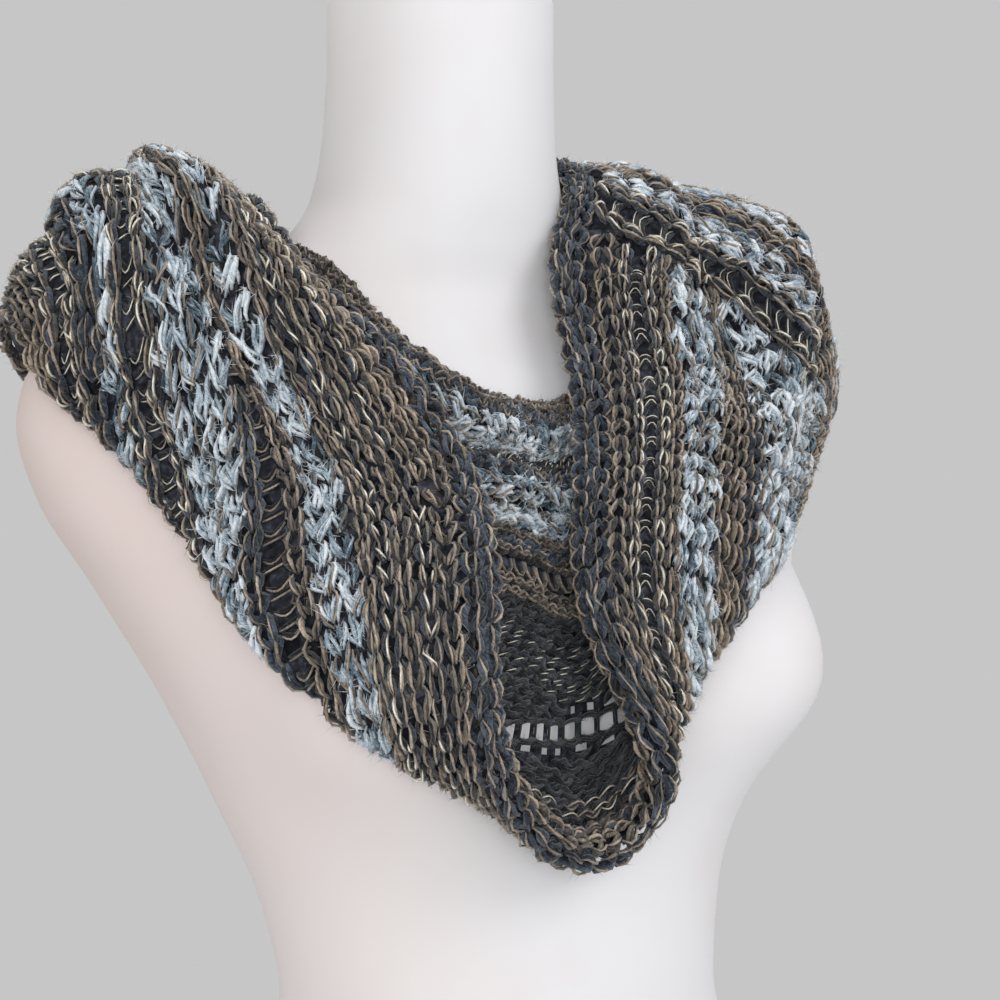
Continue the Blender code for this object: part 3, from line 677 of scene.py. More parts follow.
@dataclass
class Fibres:
    """Loose fibres gathered into one mesh: slender pyramids on a three-sided foot."""

    name: str
    batches: list[tuple[Array, Array, Array, Array]] = field(default_factory=list)

    def add(self, roots: Array, ways: Array, thickness: Array, tint: Array) -> None:
        """Adds fibres: their roots, the ways from root to tip, their foot's radius and tint.

        Args:
            roots: Their roots.
            ways: Ways from root to tip.
            thickness: Radius of each foot.
            tint: Tint of each.
        """
        if len(roots):
            self.batches.append((roots, ways, thickness, tint))

    def build(self) -> bpy.types.Object:
        """Makes the mesh: three foot points round each root, and a tip at its way's end.

        Returns:
            The object.
        """
        roots, ways, thickness, tint = (np.concatenate(part) for part in zip(*self.batches))
        side = unit(np.cross(ways, np.array((0.31, 0.67, 0.68))))
        other = unit(np.cross(ways, side))
        turn = np.linspace(0, 2 * np.pi, 3, endpoint=False)
        foot = (roots[:, None] + thickness[:, None, None]
                * (np.cos(turn)[:, None] * side[:, None] + np.sin(turn)[:, None] * other[:, None]))
        points = np.concatenate([foot, (roots + ways)[:, None]], 1).reshape(-1, 3)
        start = np.arange(len(roots))[:, None, None] * 4
        corners = np.array(((0, 1, 3), (1, 2, 3), (2, 0, 3), (2, 1, 0)))
        faces = (start + corners).reshape(-1, 3)
        maps = np.tile(np.array(((0, 0), (0, 1), (1, 0.5))), (len(faces), 1, 1))
        return mesh_object(self.name, points, [faces], [maps], np.repeat(tint, 4))


# ---------------------------------------------------------------- finishes
def feed(tree: bpy.types.NodeTree, socket: bpy.types.NodeSocket, value: object) -> None:
    """Links the socket where the value is another node's output, and else sets it to the value.

    Args:
        tree: The tree that the socket is in.
        socket: An input.
        value: An output, or a plain value.
    """
    if isinstance(value, bpy.types.NodeSocket):
        tree.links.new(value, socket)
    else:
        socket.default_value = value


def add_node(tree: bpy.types.NodeTree, kind: str, **values: object) -> bpy.types.Node:
    """Adds a node.

    Args:
        tree: The tree that it goes into.
        kind: Its type.
        **values: Its properties and, where no property has the name, what its inputs are fed.

    Returns:
        The node.
    """
    node = tree.nodes.new(kind)
    for name, value in values.items():
        if hasattr(node, name):
            setattr(node, name, value)
        else:
            feed(tree, node.inputs[name.replace("_", " ").title()], value)
    return node


def calculated(tree: bpy.types.NodeTree, operation: str, *values: object,
               clamp: bool = False) -> bpy.types.NodeSocket:
    """The output of a math node over the values, each a number or another node's output.

    Args:
        tree: The tree that it goes into.
        operation: The node's operation.
        *values: Its inputs.
        clamp: True to hold the output between 0 and 1.

    Returns:
        The output.
    """
    node = add_node(tree, "ShaderNodeMath", operation=operation, use_clamp=clamp)
    for socket, value in zip(node.inputs, values):
        feed(tree, socket, value)
    return node.outputs[0]


def mixed_color(tree: bpy.types.NodeTree, amount: object, first: object,
                second: object) -> bpy.types.NodeSocket:
    """The colour that lies between the first and the second by the amount.

    Args:
        tree: The tree that the node goes into.
        amount: 0 for the first colour, 1 for the second.
        first: A colour or an output.
        second: A colour or an output.

    Returns:
        The output.
    """
    node = add_node(tree, "ShaderNodeMix", data_type="RGBA")
    for index, value in ((0, amount), (6, first), (7, second)):
        feed(tree, node.inputs[index], value)
    return node.outputs[2]


def ramp_color(tree: bpy.types.NodeTree, amount: bpy.types.NodeSocket, stops: tuple) -> bpy.types.NodeSocket:
    """The colour at the amount on a ramp with the given (position, colour) stops.

    Args:
        tree: The tree that the node goes into.
        amount: An output from 0 to 1.
        stops: Positions and colours, rising.

    Returns:
        The output.
    """
    node = add_node(tree, "ShaderNodeValToRGB", fac=amount)
    elements = node.color_ramp.elements
    while len(elements) < len(stops):
        elements.new(0.5)
    for element, (position, color) in zip(elements, stops):
        element.position = position
        element.color = (*color, 1)
    return node.outputs["Color"]


def bump_normal(tree: bpy.types.NodeTree, height: bpy.types.NodeSocket, strength: float,
                distance: float) -> bpy.types.NodeSocket:
    """Normals turned by the slope of the height.

    Args:
        tree: The tree that the node goes into.
        height: An output.
        strength: How much it counts.
        distance: Metres that a height of 1 stands for.

    Returns:
        The output.
    """
    node = add_node(tree, "ShaderNodeBump", strength=strength, distance=distance)
    feed(tree, node.inputs["Height"], height)
    return node.outputs["Normal"]


def new_material(name: str) -> tuple[bpy.types.Material, bpy.types.NodeTree, bpy.types.Node]:
    """A new material, its node tree and its shader."""
    material = bpy.data.materials.new(name)
    material.use_nodes = True
    return material, material.node_tree, material.node_tree.nodes["Principled BSDF"]


@dataclass(frozen=True)
class FibreGroup:
    """The shader group that every yarn uses: fibres laid along the strand and twisted round it."""

    name: str = "twisted fibres"
    strand_shift: float = 37.0
    blotch_scale: float = 320.0

    def tree(self) -> bpy.types.NodeTree:
        """The group, made on first use, with named sockets.

        The fibres are a noise over (stretch * along, fineness * (twist * along + round), tint).

        Returns:
            The group's tree.
        """
        found = bpy.data.node_groups.get(self.name)
        if found:
            return found
        tree = bpy.data.node_groups.new(self.name, "ShaderNodeTree")
        for label in ("Twist", "Fineness", "Stretch"):
            tree.interface.new_socket(label, in_out="INPUT", socket_type="NodeSocketFloat")
        for label in ("Fibre", "Shade", "Tint"):
            tree.interface.new_socket(label, in_out="OUTPUT", socket_type="NodeSocketFloat")
        given = add_node(tree, "NodeGroupInput").outputs
        where = add_node(tree, "ShaderNodeTexCoord").outputs
        tint = add_node(tree, "ShaderNodeAttribute", attribute_name="tint").outputs["Fac"]
        lay = add_node(tree, "ShaderNodeSeparateXYZ", vector=where["UV"]).outputs
        lean = calculated(tree, "MULTIPLY_ADD", lay["X"], given["Twist"], lay["Y"])
        joined = add_node(tree, "ShaderNodeCombineXYZ",
                          x=calculated(tree, "MULTIPLY", lay["X"], given["Stretch"]),
                          y=calculated(tree, "MULTIPLY", lean, given["Fineness"]),
                          z=calculated(tree, "MULTIPLY", tint, self.strand_shift))
        fibre = add_node(tree, "ShaderNodeTexNoise", vector=joined.outputs[0], scale=1.0, detail=3.0,
                         roughness=0.6)
        shade = add_node(tree, "ShaderNodeTexNoise", vector=where["Object"], scale=self.blotch_scale,
                         detail=3.0)
        out = add_node(tree, "NodeGroupOutput")
        for label, value in (("Fibre", fibre.outputs["Fac"]), ("Shade", shade.outputs["Fac"]),
                             ("Tint", tint)):
            feed(tree, out.inputs[label], value)
        return tree


@dataclass(frozen=True)
class YarnFinish:
    """A yarn's colours from dark to light, its gloss and its lay of fibres."""

    name: str
    stops: tuple
    roughness: float = 0.9
    metallic: float = 0.0
    sheen: float = 0.3
    sheen_tint: tuple = (0.72, 0.76, 0.8)
    twist: float = 2.5
    fineness: float = 4.0
    stretch: float = 5.0
    bump: float = 0.6
    from_tint: float = 0.55
    from_fibre: float = 1.25
    from_blotch: float = 0.9
    specular: float = 0.25
    sheen_roughness: float = 0.5
    bump_distance: float = 0.0006

    def make(self) -> bpy.types.Material:
        """The material: a ramp over a mix of the strand's own tint and its fibres, and their bump.

        The level on the ramp is 0.5 plus each of fibre, tint and blotch, less 0.5, by its weight.

        Returns:
            The material.
        """
        material, tree, shader = new_material(self.name)
        group = add_node(tree, "ShaderNodeGroup", node_tree=FibreGroup().tree(), twist=self.twist,
                         fineness=self.fineness, stretch=self.stretch)
        fibre = group.outputs["Fibre"]
        level = 0.5 - 0.5 * self.from_fibre - 0.5 * self.from_tint
        for output, weight in ((fibre, self.from_fibre), (group.outputs["Tint"], self.from_tint),
                               (group.outputs["Shade"], self.from_blotch)):
            level = calculated(tree, "MULTIPLY_ADD", output, weight, level)
        level = calculated(tree, "SUBTRACT", level, self.from_blotch / 2, clamp=True)
        for label, value in (("Base Color", ramp_color(tree, level, self.stops)),
                             ("Normal", bump_normal(tree, fibre, self.bump, self.bump_distance)),
                             ("Roughness", self.roughness), ("Metallic", self.metallic),
                             ("Specular IOR Level", self.specular), ("Sheen Weight", self.sheen),
                             ("Sheen Roughness", self.sheen_roughness),
                             ("Sheen Tint", (*self.sheen_tint, 1))):
            feed(tree, shader.inputs[label], value)
        return material


@dataclass(frozen=True)
class PlasticFinish:
    """Moulded plastic: painted shade, darker and pinkish, on the side away from the key lamp, and cool white
    on the other, with faint streaks and patches.
    """

    name: str
    # The first colour is painted shade, darker and pinkish, on the side away from the key lamp; cool is the
    # plastic's own white.
    shaded_side: tuple
    cool: tuple
    patch: tuple
    roughness: float = 0.50
    rougher: float = 0.14
    # X in object space below which the painted shade is full, and above which the plastic shows its cool
    # white.
    shaded_to: float = -0.18
    cool_from: float = -0.02
    patch_scale: float = 9.0
    streak_scale: tuple = (9.0, 70.0, 22.0)
    streak_turn: tuple = (0.3, 0.9, 0.4)
    streak_bump: float = 0.12
    streak_depth: float = 0.0004

    def make(self) -> bpy.types.Material:
        """The material: the painted shade and the cool white mixed by where a point lies across the form,
        streaks in gloss and bump.

        Returns:
            The material.
        """
        material, tree, shader = new_material(self.name)
        where = add_node(tree, "ShaderNodeTexCoord").outputs["Object"]
        across = add_node(tree, "ShaderNodeSeparateXYZ", vector=where).outputs["X"]
        side = add_node(tree, "ShaderNodeMapRange", value=across, from_min=self.shaded_to,
                        from_max=self.cool_from)
        base = mixed_color(tree, side.outputs["Result"], (*self.shaded_side, 1), (*self.cool, 1))
        blotch = add_node(tree, "ShaderNodeTexNoise", vector=where, scale=self.patch_scale, detail=3.0,
                          roughness=0.55)
        amount = add_node(tree, "ShaderNodeMapRange", value=blotch.outputs["Fac"], from_min=0.48,
                          from_max=0.72, to_max=0.5)
        turned = add_node(tree, "ShaderNodeMapping", vector=where, rotation=self.streak_turn,
                          scale=self.streak_scale)
        streak = add_node(tree, "ShaderNodeTexNoise", vector=turned.outputs["Vector"], scale=2.2,
                          detail=5.0, roughness=0.7).outputs["Fac"]
        gloss = add_node(tree, "ShaderNodeMapRange", value=streak, from_min=0.35, from_max=0.75,
                         to_min=self.roughness, to_max=self.roughness + self.rougher)
        color = mixed_color(tree, amount.outputs["Result"], base, (*self.patch, 1))
        for label, value in (("Base Color", color), ("Roughness", gloss.outputs["Result"]),
                             ("Normal", bump_normal(tree, streak, self.streak_bump, self.streak_depth))):
            feed(tree, shader.inputs[label], value)
        return material


@dataclass(frozen=True)
class Palette:
    """The finishes of all yarns."""

    navy: YarnFinish = YarnFinish(
        "navy_core",
        ((0.0, (0.006, 0.007, 0.011)), (0.45, (0.022, 0.029, 0.043)), (1.0, (0.125, 0.158, 0.205))),
        sheen=0.4, bump=1.0)
    umber: YarnFinish = YarnFinish(
        "umber_core",
        ((0.0, (0.008, 0.007, 0.007)), (0.45, (0.033, 0.030, 0.030)), (1.0, (0.180, 0.155, 0.140))),
        sheen=0.35, bump=1.0)
    tan: YarnFinish = YarnFinish(
        "tan_strand",
        ((0.0, (0.055, 0.043, 0.033)), (0.45, (0.225, 0.178, 0.130)), (1.0, (0.62, 0.51, 0.40))),
        roughness=0.7, sheen=0.4)
    gold: YarnFinish = YarnFinish(
        "metallic_thread", ((0.0, (0.32, 0.29, 0.22)), (0.5, (0.76, 0.72, 0.60)), (1.0, (0.98, 0.96, 0.88))),
        roughness=0.33, metallic=0.3, sheen=0.0, fineness=3.0, stretch=9.0, specular=0.5)
    slub: YarnFinish = YarnFinish(
        "pale_slub", ((0.0, (0.018, 0.038, 0.056)), (0.30, (0.075, 0.130, 0.172)), (0.56, (0.36, 0.45, 0.52)),
                      (1.0, (0.88, 0.93, 0.97))),
        sheen=0.6, bump=0.9, fineness=6.0, stretch=2.5, from_tint=0.85, from_fibre=1.0)
    # Dim yarn: the V's wrong side, the cores under the slub, the ladders' under-threads and the bars at the
    # dropped stitches. Its colours are darker than the yarn's own: partly painted shade of the V's hollow and
    # of the gaps, and of the shadows that this yarn doesn't cast.
    dim: YarnFinish = YarnFinish(
        "slub_dark_and_shaded",
        ((0.0, (0.005, 0.005, 0.006)), (0.5, (0.013, 0.013, 0.016)), (1.0, (0.078, 0.078, 0.092))),
        sheen=0.35, bump=1.0)
    # The backing sheet's finish: its dark colours paint the shade between the stitches, over the yarn behind
    # them that is dark itself.
    shade_backing: YarnFinish = YarnFinish(
        "shade_backing_sheet", ((0.25, (0.008, 0.008, 0.010)), (0.52, (0.026, 0.028, 0.036)),
                         (0.78, (0.085, 0.092, 0.112))),
        sheen=0.05, twist=90.0, fineness=260.0, stretch=170.0, from_tint=0.0, specular=0.05)

    def finishes(self) -> dict[str, YarnFinish]:
        """The finish of each yarn and of each kind of loose fibre, by the name of its pieces.

        Returns:
            The finishes by name.
        """
        loose = dict(fineness=0.5, stretch=0.3, bump=0.0, from_fibre=0.4, from_tint=1.6, sheen=0.4)
        return {"navy": self.navy, "umber": self.umber, "tan": self.tan, "gold": self.gold, "slub": self.slub,
                "dim": self.dim,
                "fuzz_navy": replace(self.navy, name="navy_fibre", **loose),
                "fuzz_brown": replace(self.umber, name="umber_fibre", **loose),
                "fuzz_tan": replace(self.tan, name="tan_fibre", **loose),
                "fuzz_pale": replace(self.slub, name="slub_fibre", **loose)}


# ---------------------------------------------------------------- stitches
@dataclass(frozen=True)
class Gauge:
    """Size of one stitch: along its row, across it, and its strand's radius."""

    pitch: float
    width: float
    radius: float


@dataclass(frozen=True)
class Ply:
    """One ply of a strand: its yarn, its radius over the strand's, its tint, and if it lies on top."""

    yarn: str
    slim: float = 0.58
    tint: float = 0.50
    on_top: bool = False


PLIES = {
    Yarn.BROWN: (Ply("tan", 0.35, 0.66, True), Ply("umber"), Ply("tan", 0.46, 0.14)),
    Yarn.NAVY: (Ply("tan", 0.28, 0.52, True), Ply("navy"), Ply("navy")),
    Yarn.GOLD: (Ply("tan", 0.35, 0.66, True), Ply("umber"), Ply("navy")),
    Yarn.DIM: (Ply("dim"), Ply("dim"), Ply("navy")),
    Yarn.METAL: (Ply("dim"), Ply("dim"), Ply("dim")),
}
LOOSE = {"umber": "fuzz_brown", "tan": "fuzz_tan", "navy": "fuzz_navy", "dim": "fuzz_navy"}
GAUGES = {
    Yarn.BROWN: Gauge(0.0094, 0.0092, 0.0021), Yarn.NAVY: Gauge(0.0096, 0.0092, 0.0022),
    Yarn.GOLD: Gauge(0.0096, 0.0082, 0.0019), Yarn.SLUB: Gauge(0.0118, 0.0088, 0.0018),
    Yarn.DIM: Gauge(0.0130, 0.0074, 0.0018), Yarn.RUNGS: Gauge(0.0118, 0.0080, 0.0008),
    Yarn.METAL: Gauge(0.0125, 0.0074, 0.0018),
}


@dataclass(frozen=True)
class Stripe:
    """Rows of stitches side by side, on the right flap's half and on the left flap's half."""

    name: str
    right: tuple[Yarn, ...]
    left: tuple[Yarn, ...]
    fixed: bool = False


RIGHT_SIDE_STRIPES = (
    Stripe("edge_brown", (Yarn.BROWN, Yarn.BROWN), (Yarn.BROWN, Yarn.NAVY)),
    Stripe("metallic", (Yarn.GOLD, Yarn.BROWN, Yarn.GOLD), (Yarn.GOLD, Yarn.RUNGS, Yarn.GOLD), True),
    Stripe("thin_brown", (Yarn.BROWN,), (Yarn.BROWN,)),
    Stripe("first_slub", (Yarn.SLUB,), (Yarn.SLUB,)),
    Stripe("brown_ladder", (Yarn.BROWN, Yarn.RUNGS, Yarn.NAVY), (Yarn.BROWN, Yarn.BROWN, Yarn.NAVY), True),
    Stripe("second_slub", (Yarn.SLUB,), (Yarn.SLUB,)),
    Stripe("wide_loops", (Yarn.GOLD, Yarn.RUNGS, Yarn.GOLD), (Yarn.BROWN, Yarn.NAVY, Yarn.BROWN), True),
    Stripe("third_slub", (Yarn.SLUB, Yarn.NAVY), (Yarn.SLUB,)),
    Stripe("outer_ladder", (Yarn.GOLD, Yarn.RUNGS, Yarn.GOLD), (Yarn.GOLD, Yarn.RUNGS, Yarn.GOLD), True),
    Stripe("turned_brown", (Yarn.BROWN, Yarn.BROWN), (Yarn.BROWN, Yarn.BROWN)),
)
# Place along the strip in metres, and the stripes' boundaries there as shares of the width.
RIGHT_SIDE_LINES = (
    (-0.598, 0.03, 0.09, 0.16, 0.19, 0.26, 0.33, 0.40, 0.47, 0.54, 0.60, 0.66),
    (-0.450, 0.03, 0.09, 0.15, 0.18, 0.25, 0.32, 0.39, 0.45, 0.51, 0.57, 0.63),
    (-0.370, 0.03, 0.08, 0.14, 0.17, 0.25, 0.30, 0.37, 0.43, 0.50, 0.56, 0.62),
    (-0.310, 0.03, 0.07, 0.13, 0.15, 0.235, 0.245, 0.38, 0.50, 0.56, 0.62, 0.68),
    (-0.270, 0.03, 0.065, 0.12, 0.136, 0.235, 0.245, 0.50, 0.57, 0.62, 0.68, 0.72),
    (-0.200, 0.03, 0.065, 0.13, 0.157, 0.225, 0.335, 0.50, 0.57, 0.62, 0.68, 0.72),
    (-0.140, 0.03, 0.072, 0.142, 0.170, 0.25, 0.355, 0.48, 0.55, 0.62, 0.68, 0.72),
    (-0.100, 0.03, 0.070, 0.152, 0.185, 0.29, 0.36, 0.46, 0.53, 0.60, 0.66, 0.72),
    (-0.050, 0.03, 0.065, 0.15, 0.18, 0.27, 0.34, 0.44, 0.51, 0.58, 0.64, 0.70),
    (0.000, 0.03, 0.060, 0.14, 0.17, 0.23, 0.33, 0.40, 0.47, 0.54, 0.60, 0.66),
    (0.090, 0.03, 0.060, 0.145, 0.165, 0.215, 0.33, 0.38, 0.45, 0.52, 0.58, 0.64),
    (0.130, 0.03, 0.062, 0.158, 0.173, 0.225, 0.335, 0.38, 0.46, 0.52, 0.58, 0.64),
    (0.200, 0.03, 0.072, 0.158, 0.180, 0.25, 0.352, 0.415, 0.48, 0.54, 0.60, 0.66),
    (0.250, 0.03, 0.085, 0.160, 0.178, 0.23, 0.30, 0.385, 0.46, 0.52, 0.58, 0.64),
    (0.290, 0.03, 0.090, 0.155, 0.172, 0.215, 0.25, 0.345, 0.42, 0.48, 0.54, 0.60),
    (0.325, 0.03, 0.080, 0.130, 0.145, 0.18, 0.205, 0.285, 0.345, 0.43, 0.49, 0.55),
    (0.353, 0.03, 0.065, 0.105, 0.115, 0.145, 0.165, 0.235, 0.28, 0.355, 0.44, 0.50),
    (0.380, 0.03, 0.060, 0.095, 0.105, 0.14, 0.165, 0.21, 0.26, 0.335, 0.43, 0.50),
    (0.450, 0.03, 0.080, 0.130, 0.150, 0.21, 0.26, 0.33, 0.39, 0.45, 0.51, 0.58),
    (0.598, 0.03, 0.09, 0.16, 0.19, 0.26, 0.33, 0.40, 0.47, 0.54, 0.60, 0.66),
)
# The wrong side, where it shows: yarn of each row, and the share of the width at its middle.
WRONG_SIDE_ROWS = (
    (Yarn.NAVY, 0.062), (Yarn.BROWN, 0.088), (Yarn.GOLD, 0.118), (Yarn.GOLD, 0.140), (Yarn.DIM, 0.165),
    (Yarn.DIM, 0.192), (Yarn.DIM, 0.219), (Yarn.DIM, 0.246), (Yarn.DIM, 0.273), (Yarn.DIM, 0.300),
    (Yarn.DIM, 0.328), (Yarn.METAL, 0.356), (Yarn.METAL, 0.384), (Yarn.METAL, 0.412), (Yarn.METAL, 0.440),
    (Yarn.DIM, 0.468), (Yarn.DIM, 0.496), (Yarn.BROWN, 0.520), (Yarn.BROWN, 0.544), (Yarn.RUNGS, 0.582),
    (Yarn.BROWN, 0.619), (Yarn.NAVY, 0.640), (Yarn.BROWN, 0.664), (Yarn.SLUB, 0.694), (Yarn.SLUB, 0.728),
    (Yarn.SLUB, 0.762), (Yarn.NAVY, 0.790), (Yarn.METAL, 0.814), (Yarn.METAL, 0.842), (Yarn.SLUB, 0.872),
    (Yarn.SLUB, 0.906), (Yarn.NAVY, 0.932), (Yarn.BROWN, 0.957), (Yarn.BROWN, 0.982),
)


@dataclass(frozen=True)
class Ridge:
    """The ladder that crosses the left shoulder slantwise, and the rows beyond that follow it."""

    # place along the strip and share of its width, from the rolled edge outwards
    path: tuple = ((-0.365, -0.040), (-0.347, 0.010), (-0.3365, 0.030), (-0.3265, 0.060), (-0.3190, 0.096),
                   (-0.3145, 0.129), (-0.3110, 0.165), (-0.3085, 0.201), (-0.3035, 0.237), (-0.2920, 0.274),
                   (-0.2825, 0.303), (-0.2745, 0.333), (-0.2710, 0.369), (-0.2780, 0.410))
    rows: tuple = ((-0.0082, Yarn.GOLD), (0.0, Yarn.RUNGS), (0.0082, Yarn.GOLD), (0.0168, Yarn.SLUB),
                   (0.0255, Yarn.SLUB), (0.034, Yarn.NAVY), (0.0415, Yarn.BROWN), (0.050, Yarn.SLUB),
                   (0.059, Yarn.SLUB), (0.0675, Yarn.BROWN), (0.0755, Yarn.NAVY), (0.084, Yarn.SLUB),
                   (0.093, Yarn.SLUB))
    before: float = 0.0125
    beyond: float = 0.098
    first_share: float = 0.03
    first_stitch: float = 0.032
    rung_width: float = 0.0115
    # how far the ladder and its two borders are lifted, and how far off the path they lie at most
    lift: float = 0.0022
    lifted: float = 0.01

    def covers(self, place: Array, across: Array) -> Array:
        """True where the ladder's own rows take the place of the stripes.

        Args:
            place: Places along the strip.
            across: Shares of its width.

        Returns:
            True for each point covered.
        """
        table = np.array(self.path)
        off = np.interp(across, table[:, 1], table[:, 0]) - place
        return ((off > -self.before) & (off < self.beyond) & (across > self.first_share)
                & (across < table[-1, 1]))

    def follow(self, strip: Strip, way: Array, offset: Array) -> tuple[Array, Array]:
        """Place and share of a point: so far along the path, and so far off it towards the back.

        The path is taken in metres on the cloth, and the offset moves the point along the strip.

        Args:
            strip: The strip.
            way: Ways along the path.
            offset: Ways off it.

        Returns:
            Places and shares.
        """
        table = np.array(self.path) * (1, strip.width)
        steps = np.linalg.norm(np.diff(table, axis=0), axis=1)
        ways = np.concatenate([[0], np.cumsum(steps)])
        return (np.interp(way, ways, table[:, 0]) - offset,
                np.interp(way, ways, table[:, 1]) / strip.width)

    def span(self, strip: Strip) -> float:
        """Length of the path on the cloth."""
        return float(np.sum(np.linalg.norm(np.diff(np.array(self.path) * (1, strip.width), axis=0), axis=1)))


@dataclass(frozen=True)
class Row:
    """A row of stitches to lay: its yarn, its gauge, and where its stitches lie."""

    yarn: Yarn
    gauge: Gauge
    # place of each stitch along the strip, and the function that turns stitches into points
    place: Array
    locate: Locate
    # width of each stitch over the gauge's
    spread: Array
    # where each stitch lies along its row, if that isn't its place
    off_way: Array | None = None

    @property
    def way(self) -> Array:
        """Where each stitch lies along its row."""
        return self.place if self.off_way is None else self.off_way


@dataclass(frozen=True)
class Legs:
    """The left or right leg of each picked stitch of a row, as lines over the cloth."""

    row: Row
    pick: Array
    # share of the way along each leg, from 0 at the apex to 1
    t: Array
    along: Array
    across: Array
    height: Array
    noise: Array
    # -1 for left legs, 1 for right ones
    hand: float


@dataclass(frozen=True)
class LegShape:
    """A leg of a chain stitch: pitches along its row, widths across it, metres of height."""

    start: float = -0.47
    length: float = 1.10
    apex: float = 0.03
    bulge: float = 0.40
    bulge_power: float = 1.15
    drawn_in: float = 0.12
    drawn_from: float = 0.8
    base: float = 0.0005
    rise: float = 0.0026
    # how far chance moves each of these, and the share of it that all but the slub yarns get
    start_chance: float = 0.08
    length_chance: float = 0.07
    apex_chance: float = 0.035
    wave_chance: float = 0.0004
    rise_chance: float = 0.0005
    tame: float = 0.6


@dataclass(frozen=True)
class TwistShape:
    """The plies round a leg's line: ways off it and radii over the strand's, angles in radians."""

    off: float = 0.60
    top_off: float = 0.95
    lift: float = 0.0004
    twist: float = 4.6
    twist_chance: float = 0.8
    swing: float = 0.6
    swing_chance: float = 0.10
    slip: float = 0.0005
    slim_chance: float = 0.06
    leg_tint: float = 0.20
    ply_tint: float = 0.12
    fibres: int = 2
    fibre_reach: float = 0.0034
    fibre_foot: float = 0.00008


@dataclass(frozen=True)
class ThreadShape:
    """The metallic thread over a leg. Of two numbers the first is the left leg's."""

    shown: tuple = (0.35, 0.85)
    shortest: tuple = (0.35, 0.6)
    longest: float = 1.05
    latest: float = 0.12
    points: int = 6
    aside: float = 0.0005
    stray: float = 0.0006
    low: float = 0.3
    weave: float = 1.1
    radius: float = 0.00032
    swell: float = 0.00034
    tint: float = 0.6
    tint_chance: float = 0.3


@dataclass(frozen=True)
class TuftShape:
    """A fan of loose slub strands, fat and pale or thin and dark."""

    # share of the dark ones; tints of the dark and of the pale ones at their two ends
    dark_share: float = 0.28
    dark_tint: float = 0.12
    dark_more: float = 0.9
    pale_tint: float = 0.52
    tufted: float = 0.4
    thin: float = 0.0012
    fatter: float = 0.0028
    fat_power: float = 1.2
    flipped: float = 0.35
    fan_power: float = 0.8
    strands: int = 5
    back_strands: int = 2
    back_thicker: float = 1.6
    core_radius: float = 0.0014
    core_depth: float = 0.0006
    core_rings: int = 3
    core_tint: float = 0.45
    start_reach: float = 0.12
    reach: float = 0.70
    reach_chance: float = 0.16
    curl: float = 0.0007
    length: float = 0.78
    length_chance: float = 0.10
    slip: float = 0.0012
    narrow: float = 0.95
    lift: float = 0.35
    flat: float = 0.8
    radius: float = 0.00062
    pale_radius: float = 0.00080
    tint_base: float = 0.10
    tint_more: float = 0.84
    tint_chance: float = 0.14
    fibres: int = 3
    fibre_reach: float = 0.0040
    fibre_foot: float = 0.00017
    # the bare tan thread over some of them
    bare_share: float = 0.45
    bare_sway: float = 0.0012
    bare_lift: float = 0.0008
    bare_radius: float = 0.00062


@dataclass(frozen=True)
class RungShape:
    """The threads over a dropped stitch, each with a dark one under it."""

    # place of each of a stitch's threads in its pitch, and how far it arches along the strip
    threads: tuple = ((0.0, 0.0008), (0.5, 0.0038))
    points: int = 6
    stray: float = 0.0007
    length: float = 1.15
    base: float = 0.0007
    rise: float = 0.0013
    rise_chance: float = 0.0003
    pale_radius: float = 0.00040
    dark_radius: float = 0.00058
    under_radius: float = 0.0015
    under_depth: float = 0.0012
    under_shift: float = 0.0014


@dataclass(frozen=True)
class ArcShape:
    """The arcs in which a stitch shows on the wrong side."""

    # places along the strip between which the wrong side shows in the V, and how far round its fold
    first: float = -0.135
    last: float = 0.17
    after_fold: float = 0.02
    whole: float = 0.05
    # share of the width from which it shows along the rim, all round
    rim: float = 0.80
    slub_gauge: Gauge = Gauge(0.0150, 0.0088, 0.0018)
    points: int = 6
    length: float = 1.15
    length_chance: float = 0.05
    width: float = 0.0275
    bulge: float = 0.42
    drop: float = 0.10
    drop_chance: float = 0.06
    base: float = 0.0008
    rise: float = 0.0022
    rise_chance: float = 0.0007
    radius_chance: float = 0.18
    clear_of_holes: float = 0.0006
    # shift, radius over the strand's and change of tint of each of its two plies
    plies: tuple = ((-0.5, 0.62, -0.1), (0.5, 0.62, 0.3))
    ply_turn: float = 5.0
    fibres: int = 3
    fibre_reach: float = 0.0028
    tan_radius: float = 0.00062
    tan_height: float = 0.75
    gold_radius: float = 0.00050
    gold_height: float = 1.1
    # chances that the right and the left arc have no metallic thread
    gold_bare: tuple = (0.55, 0.85)
    metal_share: float = 0.6
    metal_radius: float = 0.00034
    metal_height: float = 0.9
    metal_run: float = 0.0075
    metal_slant: float = 0.010
    # the wide loops over the ladder: half width in pitches, start, depth, and each thread of them
    loop_half: float = 0.44
    loop_start: float = 0.020
    loop_depth: float = 0.038
    loop_threads: tuple = ((0.0, 0.0007, "tan"), (0.0008, 0.0012, "umber"))


@dataclass(frozen=True)
class BarShape:
    """The dark yarn between the dropped stitches and along their edges."""

    outer_gap: float = 0.0017
    half_gap: float = 0.0002
    spread: float = 0.0016
    spread_power: float = 2.5
    past: float = 0.014
    base: float = 0.0010
    rise: float = 0.0010
    radius: float = 0.00055
    tint: float = 0.25
    # rise over the cloth and shift off the edge of each of the edges' loops
    loops: tuple = ((0.0010, 0.0), (0.0022, 0.0011))
    loop_length: float = 1.3
    loop_bulge: float = 0.0018
    loop_inset: float = 0.0009
    loop_chance: float = 0.0003
    loop_rise: float = 0.0012
    loop_radius: float = 0.0010
    fibres: int = 12
    fibre_reach: float = 0.0030


